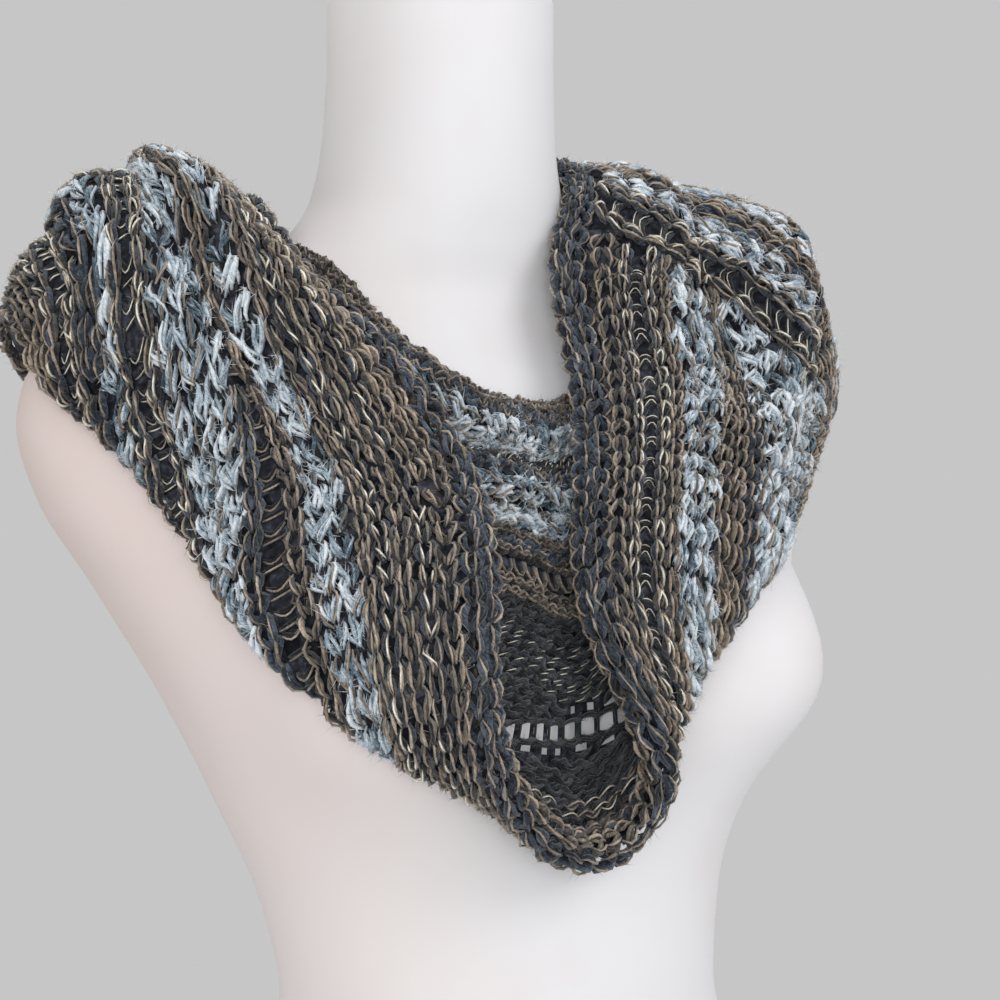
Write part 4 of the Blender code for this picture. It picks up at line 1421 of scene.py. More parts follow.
@dataclass(frozen=True)
class RopeShape:
    """The rolled edge: rows of chain stitches round a core."""

    rows: int = 4
    brown_row: int = 2
    core: float = 0.0047
    pitch: float = 0.0104
    overlap: float = 1.12
    radius: float = 0.0022
    stagger: float = 0.37
    sunk: float = 0.0012
    # steps along the strip and across it that give the rope's two directions
    step: float = 0.003
    inward: float = 0.03

    @property
    def gauge(self) -> Gauge:
        """Size of its stitches: the rows share the way round the core and overlap a little."""
        return Gauge(self.pitch, 2 * np.pi * self.core / self.rows * self.overlap, self.radius)


@dataclass(frozen=True)
class FuzzShape:
    """How loose fibres leave a strand: the angle round it, and their lean along it."""

    around: float = 1.8
    depth: float = 0.85
    lean: float = 1.6
    outward: float = 0.8
    stray: float = 0.45
    shortest: float = 0.5
    longest: float = 1.7
    foot: float = 0.00009
    tint_chance: float = 0.2
    thinned: int = 3


def swell(share: Array, margin: float, power: float) -> Array:
    """A half sine over the shares, cut by the margin at both ends and raised to the power."""
    return np.sin(np.pi * (margin + (1 - 2 * margin) * share)) ** power


@dataclass
class Knit:
    """All the yarn of the scarf, laid stitch by stitch on the strip."""

    strip: Strip
    holes: DroppedStitches
    chance: np.random.Generator
    ridge: Ridge = Ridge()
    leg: LegShape = LegShape()
    twist: TwistShape = TwistShape()
    thread: ThreadShape = ThreadShape()
    tuft: TuftShape = TuftShape()
    rung: RungShape = RungShape()
    arc: ArcShape = ArcShape()
    bar: BarShape = BarShape()
    rope: RopeShape = RopeShape()
    hair: FuzzShape = FuzzShape()
    pieces: dict[str, Strands] = field(default_factory=dict)
    hairs: dict[str, Fibres] = field(default_factory=dict)
    # places along the strip and of points from which a stitch counts as back, and as left
    seen: float = 0.44
    back_from: float = 0.045
    left_from: float = -0.01
    # rings of a stitch of slub, of others, and of any stitch at the back
    slub_rings: int = 6
    front_rings: int = 5
    back_rings: int = 4
    # most rows of a stripe, and how far past the fold the right side is laid
    most_rows: int = 9
    past_fold: float = 0.085
    row_wave: float = 0.0025
    row_waves: float = 55.0

    def put(self, yarn: str, lines: Array, radius: Array | float, up: Array, tint: Array | float) -> None:
        """Adds tubes to the pieces of the stretches that they lie in.

        Args:
            yarn: The yarn's name.
            lines: Their middle lines.
            radius: One radius, or one at each point.
            up: Directions away from the cloth.
            tint: One tint, or one for each tube, held between 0 and 1.
        """
        if not len(lines):
            return
        radius = np.broadcast_to(radius, lines.shape[:2])
        tint = np.clip(np.broadcast_to(tint, len(lines)), 0, 1)
        middle = lines[:, lines.shape[1] // 2]
        back, left = middle[:, 1] > self.back_from, middle[:, 0] > self.left_from
        for stretch, inside in (("left", ~back & left), ("right", ~back & ~left), ("back", back)):
            if np.any(inside):
                name = f"{yarn}_{stretch}"
                self.pieces.setdefault(name, Strands(name)).add(
                    lines[inside], radius[inside], up[inside], tint[inside])

    def split(self, place: Array, most: int) -> list[tuple[int, Array]]:
        """Rings of a stitch and the stitches that get them: the most in front, fewer at the back.

        Args:
            place: Places of the stitches along the strip.
            most: Rings of a stitch in front.

        Returns:
            Pairs of a number of rings and the stitches' numbers.
        """
        front = np.abs(self.strip.centred(place)) < self.seen
        return [(rings, pick) for rings, pick in ((most, np.flatnonzero(front)),
                                                  (self.back_rings, np.flatnonzero(~front))) if len(pick)]

    def fuzz(self, name: str, lines: Array, radius: Array | float, up: Array, tint: Array | float,
             each: int, reach: float, foot: float = FuzzShape.foot) -> None:
        """Adds loose fibres that leave the strands at random points and lean along them.

        Args:
            name: The fibres' piece.
            lines: Middle lines of the strands.
            radius: The strands' radius, one or one at each point.
            up: Directions away from the cloth.
            tint: One tint, or one for each strand.
            each: Fibres on each strand.
            reach: Their mean length.
            foot: Radius of their foot.
        """
        shape, draw = self.hair, self.chance
        count, rings = lines.shape[:2]
        if not count:
            return
        if rings < self.front_rings:
            each = max(each // shape.thinned, 1)
        strand = np.repeat(np.arange(count), each)
        many = len(strand)
        ring = draw.integers(1, rings - 1, many)
        start, above = lines[strand, ring], up[strand, ring]
        along = unit(start - lines[strand, ring - 1])
        turn = draw.uniform(-shape.around, shape.around, many)[:, None]
        out = np.cos(turn) * above + np.sin(turn) * np.cross(along, above)
        roots = start + out * np.broadcast_to(radius, lines.shape[:2])[strand, ring][:, None] * shape.depth
        slant = draw.normal(0, shape.lean, many)[:, None]
        ways = unit(shape.outward * out + slant * along + draw.normal(0, shape.stray, (many, 3)))
        ways = ways * (reach * draw.uniform(shape.shortest, shape.longest, many))[:, None]
        tints = np.broadcast_to(tint, count)[strand] + draw.normal(0, shape.tint_chance, many)
        self.hairs.setdefault(name, Fibres(name)).add(roots, ways, np.full(many, foot), np.clip(tints, 0, 1))

    def chain(self, row: Row) -> None:
        """Lays right-side stitches: each a V of two legs whose apex lies in the one before.

        A leg runs from the apex to the top as t goes from 0 to 1: along = pitch * (start + length t),
        across = width * (apex + bulge sin(pi/2 t^power)), drawn in again at the top, and
        height = a half sine, so that both its ends dive under the neighbours.

        Args:
            row: The row of stitches.
        """
        shape, slub = self.leg, row.yarn == Yarn.SLUB
        wild = 1.0 if row.yarn in (Yarn.SLUB, Yarn.DIM) else shape.tame
        for rings, pick in self.split(row.place, self.slub_rings if slub else self.front_rings):
            t = np.linspace(0, 1, rings)[None, :]
            for hand in (-1.0, 1.0):
                noise = self.chance.normal(0, 1, (len(pick), 7))
                stretch, shift, apart, tall = (wild * noise[:, column:column + 1] for column in range(4))
                along = row.gauge.pitch * (shape.start + (shape.length + shape.length_chance * stretch) * t
                                           + shape.start_chance * shift)
                bulge = (shape.bulge * np.sin(np.pi / 2 * t ** shape.bulge_power)
                         - shape.drawn_in * np.clip(t - shape.drawn_from, 0, 1) / (1 - shape.drawn_from))
                across = (row.gauge.width * row.spread[pick, None] * hand
                          * (shape.apex + bulge + shape.apex_chance * apart)
                          + shape.wave_chance * wild * noise[:, 6:7] * np.sin(2 * np.pi * t))
                height = shape.base + (shape.rise + shape.rise_chance * tall) * swell(t, 0.06, 0.7)
                legs = Legs(row, pick, t, row.way[pick, None] + along, across, height, noise, hand)
                if slub:
                    self.roving(legs)
                else:
                    self.plies(legs)

    def plies(self, legs: Legs) -> None:
        """Lays the three plies of each leg, and its metallic thread.

        Ply k stands at the angle 2 pi k / 3 + twist * t about the leg's own line. One on top swings
        from one side to the other over it, at the angle pi (0.2 + 0.6 t).

        Args:
            legs: The legs.
        """
        shape, t, noise, size = self.twist, legs.t, legs.noise, legs.row.gauge.radius
        count = len(legs.pick)
        phase = 6.3 * self.chance.uniform(0, 1, (count, 1))
        twist = legs.hand * (shape.twist + shape.twist_chance * noise[:, 6:7])
        taper = swell(t, 0.10, 0.35)
        roll = self.chance.uniform(0, 1, count)
        for number, ply in enumerate(PLIES[legs.row.yarn]):
            angle = 2 * np.pi * number / 3 + twist * t + phase
            if ply.on_top:
                swing = shape.swing * (t - 0.5) + shape.swing_chance * noise[:, 5:6]
                angle = np.pi / 2 + legs.hand * np.pi * swing
            off = size * (shape.top_off if ply.on_top else shape.off) * taper
            points, up = legs.row.locate(legs.pick, legs.along + shape.slip * noise[:, number:number + 1],
                                         legs.across + off * np.cos(angle),
                                         legs.height + shape.lift + off * np.sin(angle))
            uneven = shape.slim_chance * self.chance.normal(0, 1, points.shape[:2])
            radius = size * (ply.slim + uneven) * taper
            tint = ply.tint + shape.leg_tint * noise[:, 4] + shape.ply_tint * self.chance.normal(0, 1, count)
            tint = np.clip(tint, 0, 1)
            self.put(ply.yarn, points, radius, up, tint)
            self.fuzz(LOOSE[ply.yarn], points, radius, up, tint, shape.fibres, shape.fibre_reach,
                      shape.fibre_foot)
        if legs.row.yarn == Yarn.GOLD:
            self.metallic(legs, roll)

    def metallic(self, legs: Legs, roll: Array) -> None:
        """Lays the metallic thread over part of some legs, read from their lines between the points.

        Args:
            legs: The legs.
            roll: A random number for each, which tells if it has a thread.
        """
        shape, right, count = self.thread, int(legs.hand > 0), len(legs.pick)
        lit = roll < shape.shown[right]
        share = np.linspace(0, 1, shape.points)
        part = ((0.10 + 0.80 * share) * self.chance.uniform(shape.shortest[right], shape.longest, (count, 1))
                + self.chance.uniform(0, shape.latest, (count, 1)))
        last = legs.along.shape[1] - 1
        at = np.clip(part, 0, 1) * last
        low = np.clip(np.floor(at).astype(int), 0, last - 1)
        along, across, height = ((np.take_along_axis(line, low, 1) * (1 - at + low)
                                  + np.take_along_axis(line, low + 1, 1) * (at - low))[lit]
                                 for line in (legs.along, legs.across, legs.height))
        weave = swell(share, 0.02, 0.5)
        stray = shape.stray * self.chance.normal(0, 1, (count, 1))[lit] * np.linspace(-1, 1, shape.points)
        over, up = legs.row.locate(legs.pick[lit], along, across - legs.hand * shape.aside + stray,
                                   height + legs.row.gauge.radius * (shape.low + shape.weave * weave))
        self.put("gold", over, shape.radius + shape.swell * weave, up,
                 shape.tint + shape.tint_chance * legs.noise[lit, 5])

    def roving(self, legs: Legs) -> None:
        """Lays slub legs: fans of loose strands, fat and pale or thin and dark by chance.

        Each strand keeps an angle round the leg's line. The fan's radius grows as a power of the
        way, and the strands curl and end unevenly, so that the tuft ends in teeth.

        Args:
            legs: The legs.
        """
        shape, t, height, locate = self.tuft, legs.t, legs.height, legs.row.locate
        count, rings = len(legs.pick), t.shape[1]
        pale = self.chance.uniform(0, 1, count)
        over_dark = (pale - shape.dark_share) / (1 - shape.dark_share)
        pale = np.where(pale > shape.dark_share, shape.pale_tint + (1 - shape.pale_tint) * over_dark,
                        shape.dark_tint + shape.dark_more * pale)
        fat = (shape.thin + shape.fatter * pale ** shape.fat_power)[:, None]
        flip = self.chance.uniform(0, 1, (count, 1)) < shape.flipped
        fan = np.where(flip, 1 - t, t) ** shape.fan_power
        full = rings == self.slub_rings
        strands = shape.strands if full else shape.back_strands
        core, up = locate(legs.pick, legs.along, legs.across, height - shape.core_depth)
        part = np.linspace(0, rings - 1, shape.core_rings).astype(int)
        self.put("dim", core[:, part], shape.core_radius, up[:, part], shape.core_tint)
        middle = legs.along.mean(1, keepdims=True)
        tufted = pale > shape.tufted
        thick = ((shape.radius + shape.pale_radius * pale[:, None]) * (1 if full else shape.back_thicker)
                 * swell(t, 0.07, 0.6))
        for strand in range(strands):
            chance = self.chance.normal(0, 1, (count, 6))
            angle = 2 * np.pi * (strand + 0.3 * chance[:, :1]) / strands + 0.9 * chance[:, 1:2] * t
            reach = (fat * (shape.start_reach + (1 - shape.start_reach) * fan)
                     * (shape.reach + shape.reach_chance * chance[:, 2:3]))
            curl = shape.curl * np.sin(5 * t + 2 * chance[:, 3:4])
            short = shape.length + shape.length_chance * chance[:, 4:5]
            along = middle + (legs.along - middle) * short + shape.slip * chance[:, 5:6]
            points, up = locate(legs.pick, along, legs.across * shape.narrow + reach * np.cos(angle) + curl,
                                height + shape.lift * fat * fan + shape.flat * reach * np.sin(angle))
            tint = shape.tint_base + shape.tint_more * pale + shape.tint_chance * chance[:, 0]
            tint = np.clip(tint, 0, 1)
            self.put("slub", points, thick, up, tint)
            self.fuzz("fuzz_pale", points[tufted], thick[tufted], up[tufted],
                      np.clip(tint[tufted] + 0.1, 0, 1), shape.fibres, shape.fibre_reach, shape.fibre_foot)
        bare = self.chance.uniform(0, 1, count) < shape.bare_share
        if np.any(bare):
            sway = shape.bare_sway * np.sin(4 * t + 3 * legs.noise[bare, 4:5])
            over, up = locate(legs.pick[bare], legs.along[bare], legs.across[bare] + sway,
                              height[bare] + 0.5 * fat[bare] + shape.bare_lift)
            self.put("tan", over, shape.bare_radius, up, 0.4 + 0.2 * legs.noise[bare, 5])

    def rungs(self, row: Row, pale: bool) -> None:
        """Crosses a dropped stitch with threads: a straight one and an arched one to each stitch.

        A rung runs across the gap; the arched one is pushed along the strip by a half sine.

        Args:
            row: The row of stitches.
            pale: True for metallic threads, False for tan ones.
        """
        shape, count, pick = self.rung, len(row.place), np.arange(len(row.place))
        t = np.linspace(0, 1, shape.points)[None, :]
        for phase, arch in shape.threads:
            noise = self.chance.normal(0, 1, (count, 3))
            along = (row.way[:, None] + row.gauge.pitch * phase - arch * np.sin(np.pi * t)
                     + shape.stray * noise[:, :1])
            across = row.gauge.width * row.spread[:, None] * (t - 0.5) * shape.length
            height = shape.base + shape.rise * np.sin(np.pi * t) + shape.rise_chance * noise[:, 1:2]
            points, up = row.locate(pick, along, across, height)
            self.put("gold" if pale else "tan", points, shape.pale_radius if pale else shape.dark_radius, up,
                     0.5 + 0.25 * noise[:, 2])
            slant = shape.under_shift * self.chance.normal(0, 1, (count, 1)) * (t - 0.5)
            dark, up = row.locate(pick, along + shape.under_shift + slant, across, height - shape.under_depth)
            self.put("dim", dark, shape.under_radius, up, 0.4 + 0.2 * noise[:, 1])

    def lay_right_side(self) -> None:
        """Lays the stripes of the right side, from the rolled edge round the fold."""
        lines = np.array(RIGHT_SIDE_LINES)

        def bound(index: int, place: Array) -> Array:
            """Share of the width at which a boundary lies, on straight lines between the places."""
            return np.interp(self.strip.centred(place), lines[:, 0], lines[:, 1 + index])

        for number, stripe in enumerate(RIGHT_SIDE_STRIPES):
            for half, yarns in ((1.0, stripe.right), (-1.0, stripe.left)):
                for row in range(len(yarns) if stripe.fixed else self.most_rows):
                    self.lay_row(number, half, yarns, row, bound)
        self.lay_ridge()

    def lay_row(self, number: int, half: float, yarns: tuple[Yarn, ...], row: int, bound: Bound) -> None:
        """Lays one row of a stripe. Where a stripe is wider it has more rows, all equally wide.

        Args:
            number: The stripe's number.
            half: 1 on the right flap's half of the strip, -1 on the other.
            yarns: The stripe's yarns on that half.
            row: The row's number in the stripe.
            bound: Function from a boundary's number and places to shares.
        """
        stripe, strip = RIGHT_SIDE_STRIPES[number], self.strip
        yarn = yarns[min(row, len(yarns) - 1)]
        gauge = GAUGES[yarn if stripe.fixed else yarns[0]]
        count = int(strip.length / 2 / gauge.pitch)
        start = (half * strip.length / 2 * (np.arange(count) + 0.5) / count
                 + self.chance.uniform(-0.3, 0.3) * gauge.pitch)
        wide = (bound(number + 1, start) - bound(number, start)) * strip.width
        if stripe.fixed:
            rows = np.clip(np.round(wide / (0.55 * gauge.width)), 1, len(yarns))
        else:
            rows = np.clip(np.ceil(wide / gauge.width - 0.3), 1, self.most_rows)
        share = bound(number, start) + wide / strip.width * (row + 0.5) / rows
        keep = ((row < rows) & (share < strip.fold_at(start) + self.past_fold)
                & ~self.ridge.covers(start, share))
        start, wide, rows = start[keep], wide[keep], rows[keep]
        if not len(start):
            return
        wave = self.chance.uniform(0, 6.3)

        def locate(pick: Array, place: Array, across: Array, height: Array) -> tuple[Array, Array]:
            """Points over the row, which keeps its share between its stripe's boundaries.

            Args:
                pick: The stitches.
                place: Places along the strip.
                across: Ways across the row.
                height: Heights over the cloth.

            Returns:
                The points, and the directions away from the cloth.
            """
            low, high = bound(number, place), bound(number + 1, place)
            share = low + (high - low) * (row + 0.5) / rows[pick, None] + across / strip.width
            return strip.at(place, share + self.row_wave * np.sin(place * self.row_waves + wave), height)

        gauge = GAUGES[yarn]
        laid = Row(yarn, gauge, start, locate, np.clip(wide / rows / gauge.width, 0.5, 1.35))
        if yarn == Yarn.RUNGS:
            self.rungs(laid, stripe.name != "brown_ladder")
        else:
            self.chain(laid)

    def ridge_locate(self, offset: float) -> Locate:
        """The locate function of the ridge's row that lies so far off its path.

        Args:
            offset: Way of the row off the path, towards the back.

        Returns:
            The function.
        """
        rise = self.ridge.lift * (abs(offset) < self.ridge.lifted)

        def locate(_: Array, way: Array, across: Array, height: Array) -> tuple[Array, Array]:
            """Points over the row, at the ways along the path."""
            place, share = self.ridge.follow(self.strip, way, offset + across)
            return self.strip.at(place, share, height + rise)

        return locate

    def lay_ridge(self) -> None:
        """Lays the slanting ladder of the left shoulder and the rows that follow it."""
        ridge, span = self.ridge, self.ridge.span(self.strip)
        for offset, yarn in ridge.rows:
            gauge = GAUGES[yarn]
            count = int(span / gauge.pitch)
            way = span * (np.arange(count) + 0.5) / count
            place, share = ridge.follow(self.strip, way, np.full(count, offset))
            place, way = place[share > ridge.first_stitch], way[share > ridge.first_stitch]
            row = Row(yarn, gauge, place, self.ridge_locate(offset), np.ones(len(way)), way)
            if yarn == Yarn.RUNGS:
                self.rungs(replace(row, gauge=Gauge(gauge.pitch, ridge.rung_width, 0.0)), True)
            else:
                self.chain(row)

    def wrong_locate(self, share: float) -> Locate:
        """The locate function of the wrong side's row at the share of the width.

        Args:
            share: The row's share of the width.

        Returns:
            The function.
        """
        def locate(_: Array, place: Array, across: Array, height: Array) -> tuple[Array, Array]:
            """Points over the wrong side."""
            return self.strip.at(place, share + across / self.strip.width, height, Side.WRONG)

        return locate

    def lay_wrong_side(self) -> None:
        """Lays the rows of the wrong side where it shows: in the V, and along the rim at the neck."""
        shape, length = self.arc, self.strip.length
        for row, (yarn, share) in enumerate(WRONG_SIDE_ROWS):
            count = int(length / GAUGES[yarn].pitch)
            start = length * (np.arange(count) + 0.5 * (row % 2)) / count
            near = self.strip.centred(start)
            past_fold = (share > self.strip.fold_at(start) + shape.after_fold) | (np.abs(near) <= shape.whole)
            start = start[(share > shape.rim) | ((near > shape.first) & (near < shape.last) & past_fold)]
            if yarn == Yarn.SLUB:
                self.chain(Row(yarn, shape.slub_gauge, start, self.wrong_locate(share), np.ones(len(start))))
            else:
                self.lay_arcs(yarn, share, start)
        self.lay_bars()

    def lay_arcs(self, yarn: Yarn, share: float, start: Array) -> None:
        """Lays one row's arcs on the wrong side, leaving the dropped stitches bare.

        A stitch shows as two arcs, one bulging each way across its row:
        along = pitch * (t - 0.5) * length, across = width * (bulge sin(pi t) - drop), height a
        half sine. A dropped stitch shows as one wide loop.

        Args:
            yarn: The row's yarn.
            share: The row's share of the strip's width.
            start: Places of the stitches along the strip.
        """
        shape, gauge, width = self.arc, GAUGES[yarn], self.strip.width
        t = np.linspace(0, 1, shape.points)[None, :]
        for bulge in (-1.0, 1.0):
            noise = self.chance.normal(0, 1, (len(start), 6))
            u = start[:, None] + (gauge.pitch * (t - 0.5 + 0.5 * (bulge > 0))
                                  * (shape.length + shape.length_chance * noise[:, :1]))
            v = share + bulge * shape.width * (shape.bulge * np.sin(np.pi * t) - shape.drop
                                               + shape.drop_chance * noise[:, 1:2])
            height = shape.base + (shape.rise + shape.rise_chance * noise[:, 2:3]) * swell(t, 0.08, 0.8)
            clear = ~np.any(self.holes.hit(self.strip, u, v, shape.clear_of_holes), 1)
            u, v, height, rest = u[clear], v[clear], height[clear], noise[clear]
            if not len(u):
                continue
            tint = np.clip(0.45 + 0.25 * rest[:, 3], 0, 1)
            if yarn != Yarn.RUNGS:
                self.dress_arcs(yarn, u, v, height, rest, tint, bulge > 0)
            elif bulge > 0:
                wide = u[:, :1] + gauge.pitch * (0.5 - shape.loop_half * np.cos(np.pi * (1.25 * t - 0.125)))
                tall = share + shape.loop_start - shape.loop_depth * np.sin(np.pi * t)
                for drop, radius, name in shape.loop_threads:
                    points, up = self.strip.at(wide, tall + drop / width, height - drop, Side.WRONG)
                    self.put(name, points, radius, up, tint)

    def dress_arcs(self, yarn: Yarn, u: Array, v: Array, height: Array, noise: Array, tint: Array,
                   right: bool) -> None:
        """Lays the yarn of arcs: two plies, loose fibres, and tan and metallic threads by chance.

        Args:
            yarn: The row's yarn.
            u: Places along the strip.
            v: Shares of its width.
            height: Heights over the wrong side.
            noise: Random numbers of each arc.
            tint: Tint of each arc.
            right: True for the arcs that bulge to higher shares.
        """
        shape, size = self.arc, GAUGES[yarn].radius
        t = np.linspace(0, 1, shape.points)[None, :]
        points, _ = self.strip.at(u, v, height, Side.WRONG)
        radius = size * (1 + shape.radius_chance * noise[:, 4:5]) * swell(t, 0.12, 0.35)
        kind = {Yarn.BROWN: "umber", Yarn.NAVY: "navy"}.get(yarn, "dim")
        turn = shape.ply_turn * t + 6 * noise[:, 5:6]
        for shift, slim, shade in shape.plies:
            ply, above = self.strip.at(u, v + shift * size * np.cos(turn) / self.strip.width,
                                       height + shift * size * np.sin(turn), Side.WRONG)
            self.put(kind, ply, radius * slim, above, tint + shade)
        self.fuzz(LOOSE[kind], points, radius, above, tint * 0.8, shape.fibres, shape.fibre_reach)
        roll = self.chance.uniform(0, 1, len(u))
        tan = roll < {Yarn.BROWN: 0.9, Yarn.GOLD: 0.3, Yarn.NAVY: 0.4}.get(yarn, 0.0)
        gold = roll > shape.gold_bare[0 if right else 1]
        for shown, name, over, thick, shade in (
                (tan, "tan", shape.tan_height, shape.tan_radius, 0.9),
                (gold & (yarn == Yarn.GOLD), "gold", shape.gold_height, shape.gold_radius, 1.0)):
            points, up = self.strip.at(u[shown], v[shown], height[shown] + size * over, Side.WRONG)
            self.put(name, points, thick, up, tint[shown] * shade)
        if yarn == Yarn.METAL:
            lit = roll < shape.metal_share
            points, up = self.strip.at(u[lit, 3:4] + (t - 0.5) * shape.metal_run,
                                       v[lit, 3:4] - (t - 0.5) * shape.metal_slant,
                                       height[lit] + size * shape.metal_height, Side.WRONG)
            self.put("gold", points, shape.metal_radius, up, tint[lit])

    def lay_bars(self) -> None:
        """Strings the dropped stitches and borders them.

        Between each two holes two dark bars stand close together in the middle and apart at both
        ends. Along the holes' edges lie short loops of dark yarn.
        """
        shape, strip, spans = self.bar, self.strip, self.holes.spans()
        t = np.linspace(0, 1, 8)[None, :]
        outer = [spans[0, 0] - shape.outer_gap, spans[-1, 1] + shape.outer_gap]
        middle = np.append((spans[1:, 0] + spans[:-1, 1]) / 2, outer)
        low, high = self.holes.edges(strip, middle)
        for lean in (-1.0, 1.0):
            apart = shape.half_gap + shape.spread * np.abs(2 * t - 1) ** shape.spread_power
            u = middle[:, None] + lean * apart
            v = low[:, None] - shape.past + (high - low + 2 * shape.past)[:, None] * t
            height = shape.base + shape.rise * np.sin(np.pi * t) + 0 * u
            points, up = strip.at(u, v, height, Side.WRONG)
            self.put("dim", points, shape.radius, up, shape.tint)
        t = np.linspace(0, 1, 9)[None, :]
        half = (spans[:, 1:] - spans[:, :1]) / 2
        u = spans.mean(1)[:, None] + half * (2 * t - 1) * shape.loop_length
        bell = np.sin(np.pi * t)
        for edge, out in zip(self.holes.edges(strip, u), (-1.0, 1.0)):
            for rise, shift in shape.loops:
                noise = self.chance.normal(0, 1, (len(spans), 2))
                aside = shift + shape.loop_bulge * bell - shape.loop_inset + shape.loop_chance * noise[:, :1]
                height = rise + shape.loop_rise * bell + 0 * u
                points, up = strip.at(u, edge + out * aside / strip.width, height, Side.WRONG)
                self.put("dim", points, shape.loop_radius, up, 0.2 + 0.2 * noise[:, 1])
                self.fuzz("fuzz_navy", points, shape.loop_radius, up, 0.4, shape.fibres, shape.fibre_reach)

    def rope_locate(self, angle: float) -> Locate:
        """The locate function of the rope's row at the angle round its core.

        Args:
            angle: Angle from the inward direction.

        Returns:
            The function.
        """
        shape, strip = self.rope, self.strip

        def locate(_: Array, place: Array, across: Array, height: Array) -> tuple[Array, Array]:
            """Points round the edge's line; the way across the row turns the angle.

            Args:
                _: The stitches, not needed.
                place: Places along the strip.
                across: Ways across the row.
                height: Heights over the core.

            Returns:
                The points, and the directions away from the core.
            """
            flat = np.zeros(place.shape)
            edge, _ = strip.at(place, flat, flat)
            step, _ = strip.at(place + shape.step, flat, flat)
            inner, _ = strip.at(place, np.full(place.shape, shape.inward), flat)
            along = unit(step - edge)
            into = unit(inner - edge - np.sum((inner - edge) * along, -1, keepdims=True) * along)
            turn = (angle + across / shape.core)[..., None]
            out = np.cos(turn) * into + np.sin(turn) * np.cross(along, into)
            return edge + out * (shape.core + height - shape.sunk)[..., None], out

        return locate

    def lay_rope(self) -> None:
        """Lays the rolled edge: rows of chain stitches round a rope, one of them brown."""
        shape = self.rope
        count = int(self.strip.length / shape.pitch)
        for row in range(shape.rows):
            start = self.strip.length * (np.arange(count) + shape.stagger * row) / count
            self.chain(Row(Yarn.BROWN if row == shape.brown_row else Yarn.NAVY, shape.gauge, start,
                           self.rope_locate(2 * np.pi * (row + 0.5) / shape.rows), np.ones(count)))

    def build(self, palette: Palette) -> list[bpy.types.Object]:
        """Makes every piece of yarn and dresses it. The dark yarn casts no shadow in the render.

        Args:
            palette: The finishes.

        Returns:
            The pieces.
        """
        made = {name: finish.make() for name, finish in palette.finishes().items()}
        out = []
        for name, strands in self.pieces.items():
            item = strands.build()
            item.data.materials.append(made[name.split("_")[0]])
            # The dim yarn casts no shadow; its darker finish paints that shade instead.
            item.visible_shadow = not name.startswith("dim")
            LOG.info("%s: %d triangles", name, strands.faces())
            out.append(item)
        for name, fibres in self.hairs.items():
            item = fibres.build()
            item.data.materials.append(made[name])
            LOG.info("%s: %d triangles", name, len(item.data.polygons))
            out.append(item)
        return out


@dataclass
class ShadeBackingSheet:
    """The thin dark sheet that shows between the stitches, open at the dropped ones. It stands in for the
    yarn behind them, and its darkness is painted shade, partly that yarn's own dark tone.
    """

    strip: Strip
    holes: DroppedStitches
    wall: float = 0.0008
    lines_along: int = 210
    lines_across: int = 72
    # the lines that run along the holes' lower and upper edge, and how far along the strip they do
    lower_line: int = 18
    upper_line: int = 25
    follow: float = 0.06
    # share of the width that the rolled edge covers, and half the band between the two lines elsewhere
    start_share: float = 0.012
    half_band: float = 0.02
    least_step: float = 0.0012

    def build(self, palette: Palette) -> bpy.types.Object:
        """Makes the sheet: the strip's own surface, with rows and lines laid along the holes.

        Places run evenly round, and the holes' ends are added. The lines across are moved so
        that two of them run along the holes' edges.

        Args:
            palette: The finishes.

        Returns:
            The sheet, with a wall on both sides of the strip's surface.
        """
        strip = self.strip
        places = np.linspace(-strip.length / 2, strip.length / 2, self.lines_along, endpoint=False)
        ends = self.holes.spans().ravel()
        places = places[np.min(np.abs(places[:, None] - ends), 1) > self.least_step]
        places = np.sort(np.concatenate([places, ends]))
        low, high = self.holes.edges(strip, places)
        middle = np.mean([np.mean(low), np.mean(high)])
        near = np.clip(2 - np.abs(places - self.holes.place) / self.follow, 0, 1)
        low = low * near + (middle - self.half_band) * (1 - near)
        high = high * near + (middle + self.half_band) * (1 - near)
        share = np.linspace(0, 1, self.lines_across)
        lines = (0, share[self.lower_line], share[self.upper_line], 1)
        rows = np.stack([np.interp(share, lines, (self.start_share, *pair, 1)) for pair in zip(low, high)])
        points, _ = strip.points(places, rows)
        corners = grid_corners(len(places), self.lines_across, round_rows=True)
        row = corners[:, 0] // self.lines_across
        center = (places[row] + np.roll(places, -1)[row]) / 2
        across = rows.ravel()[corners].mean(1)
        opened = self.holes.hit(strip, center, across) & (row < len(places) - 1)
        corners = corners[~opened]
        maps = np.stack([center[~opened], across[~opened]], -1)
        item = mesh_object("shade_backing_sheet", points.reshape(-1, 3), [corners],
                           [np.repeat(maps[:, None], 4, 1)], np.full(rows.size, 0.3))
        item.data.materials.append(palette.shade_backing.make())
        wall = item.modifiers.new("wall", "SOLIDIFY")
        wall.thickness = self.wall
        wall.offset = 0
        item.visible_shadow = False
        return item


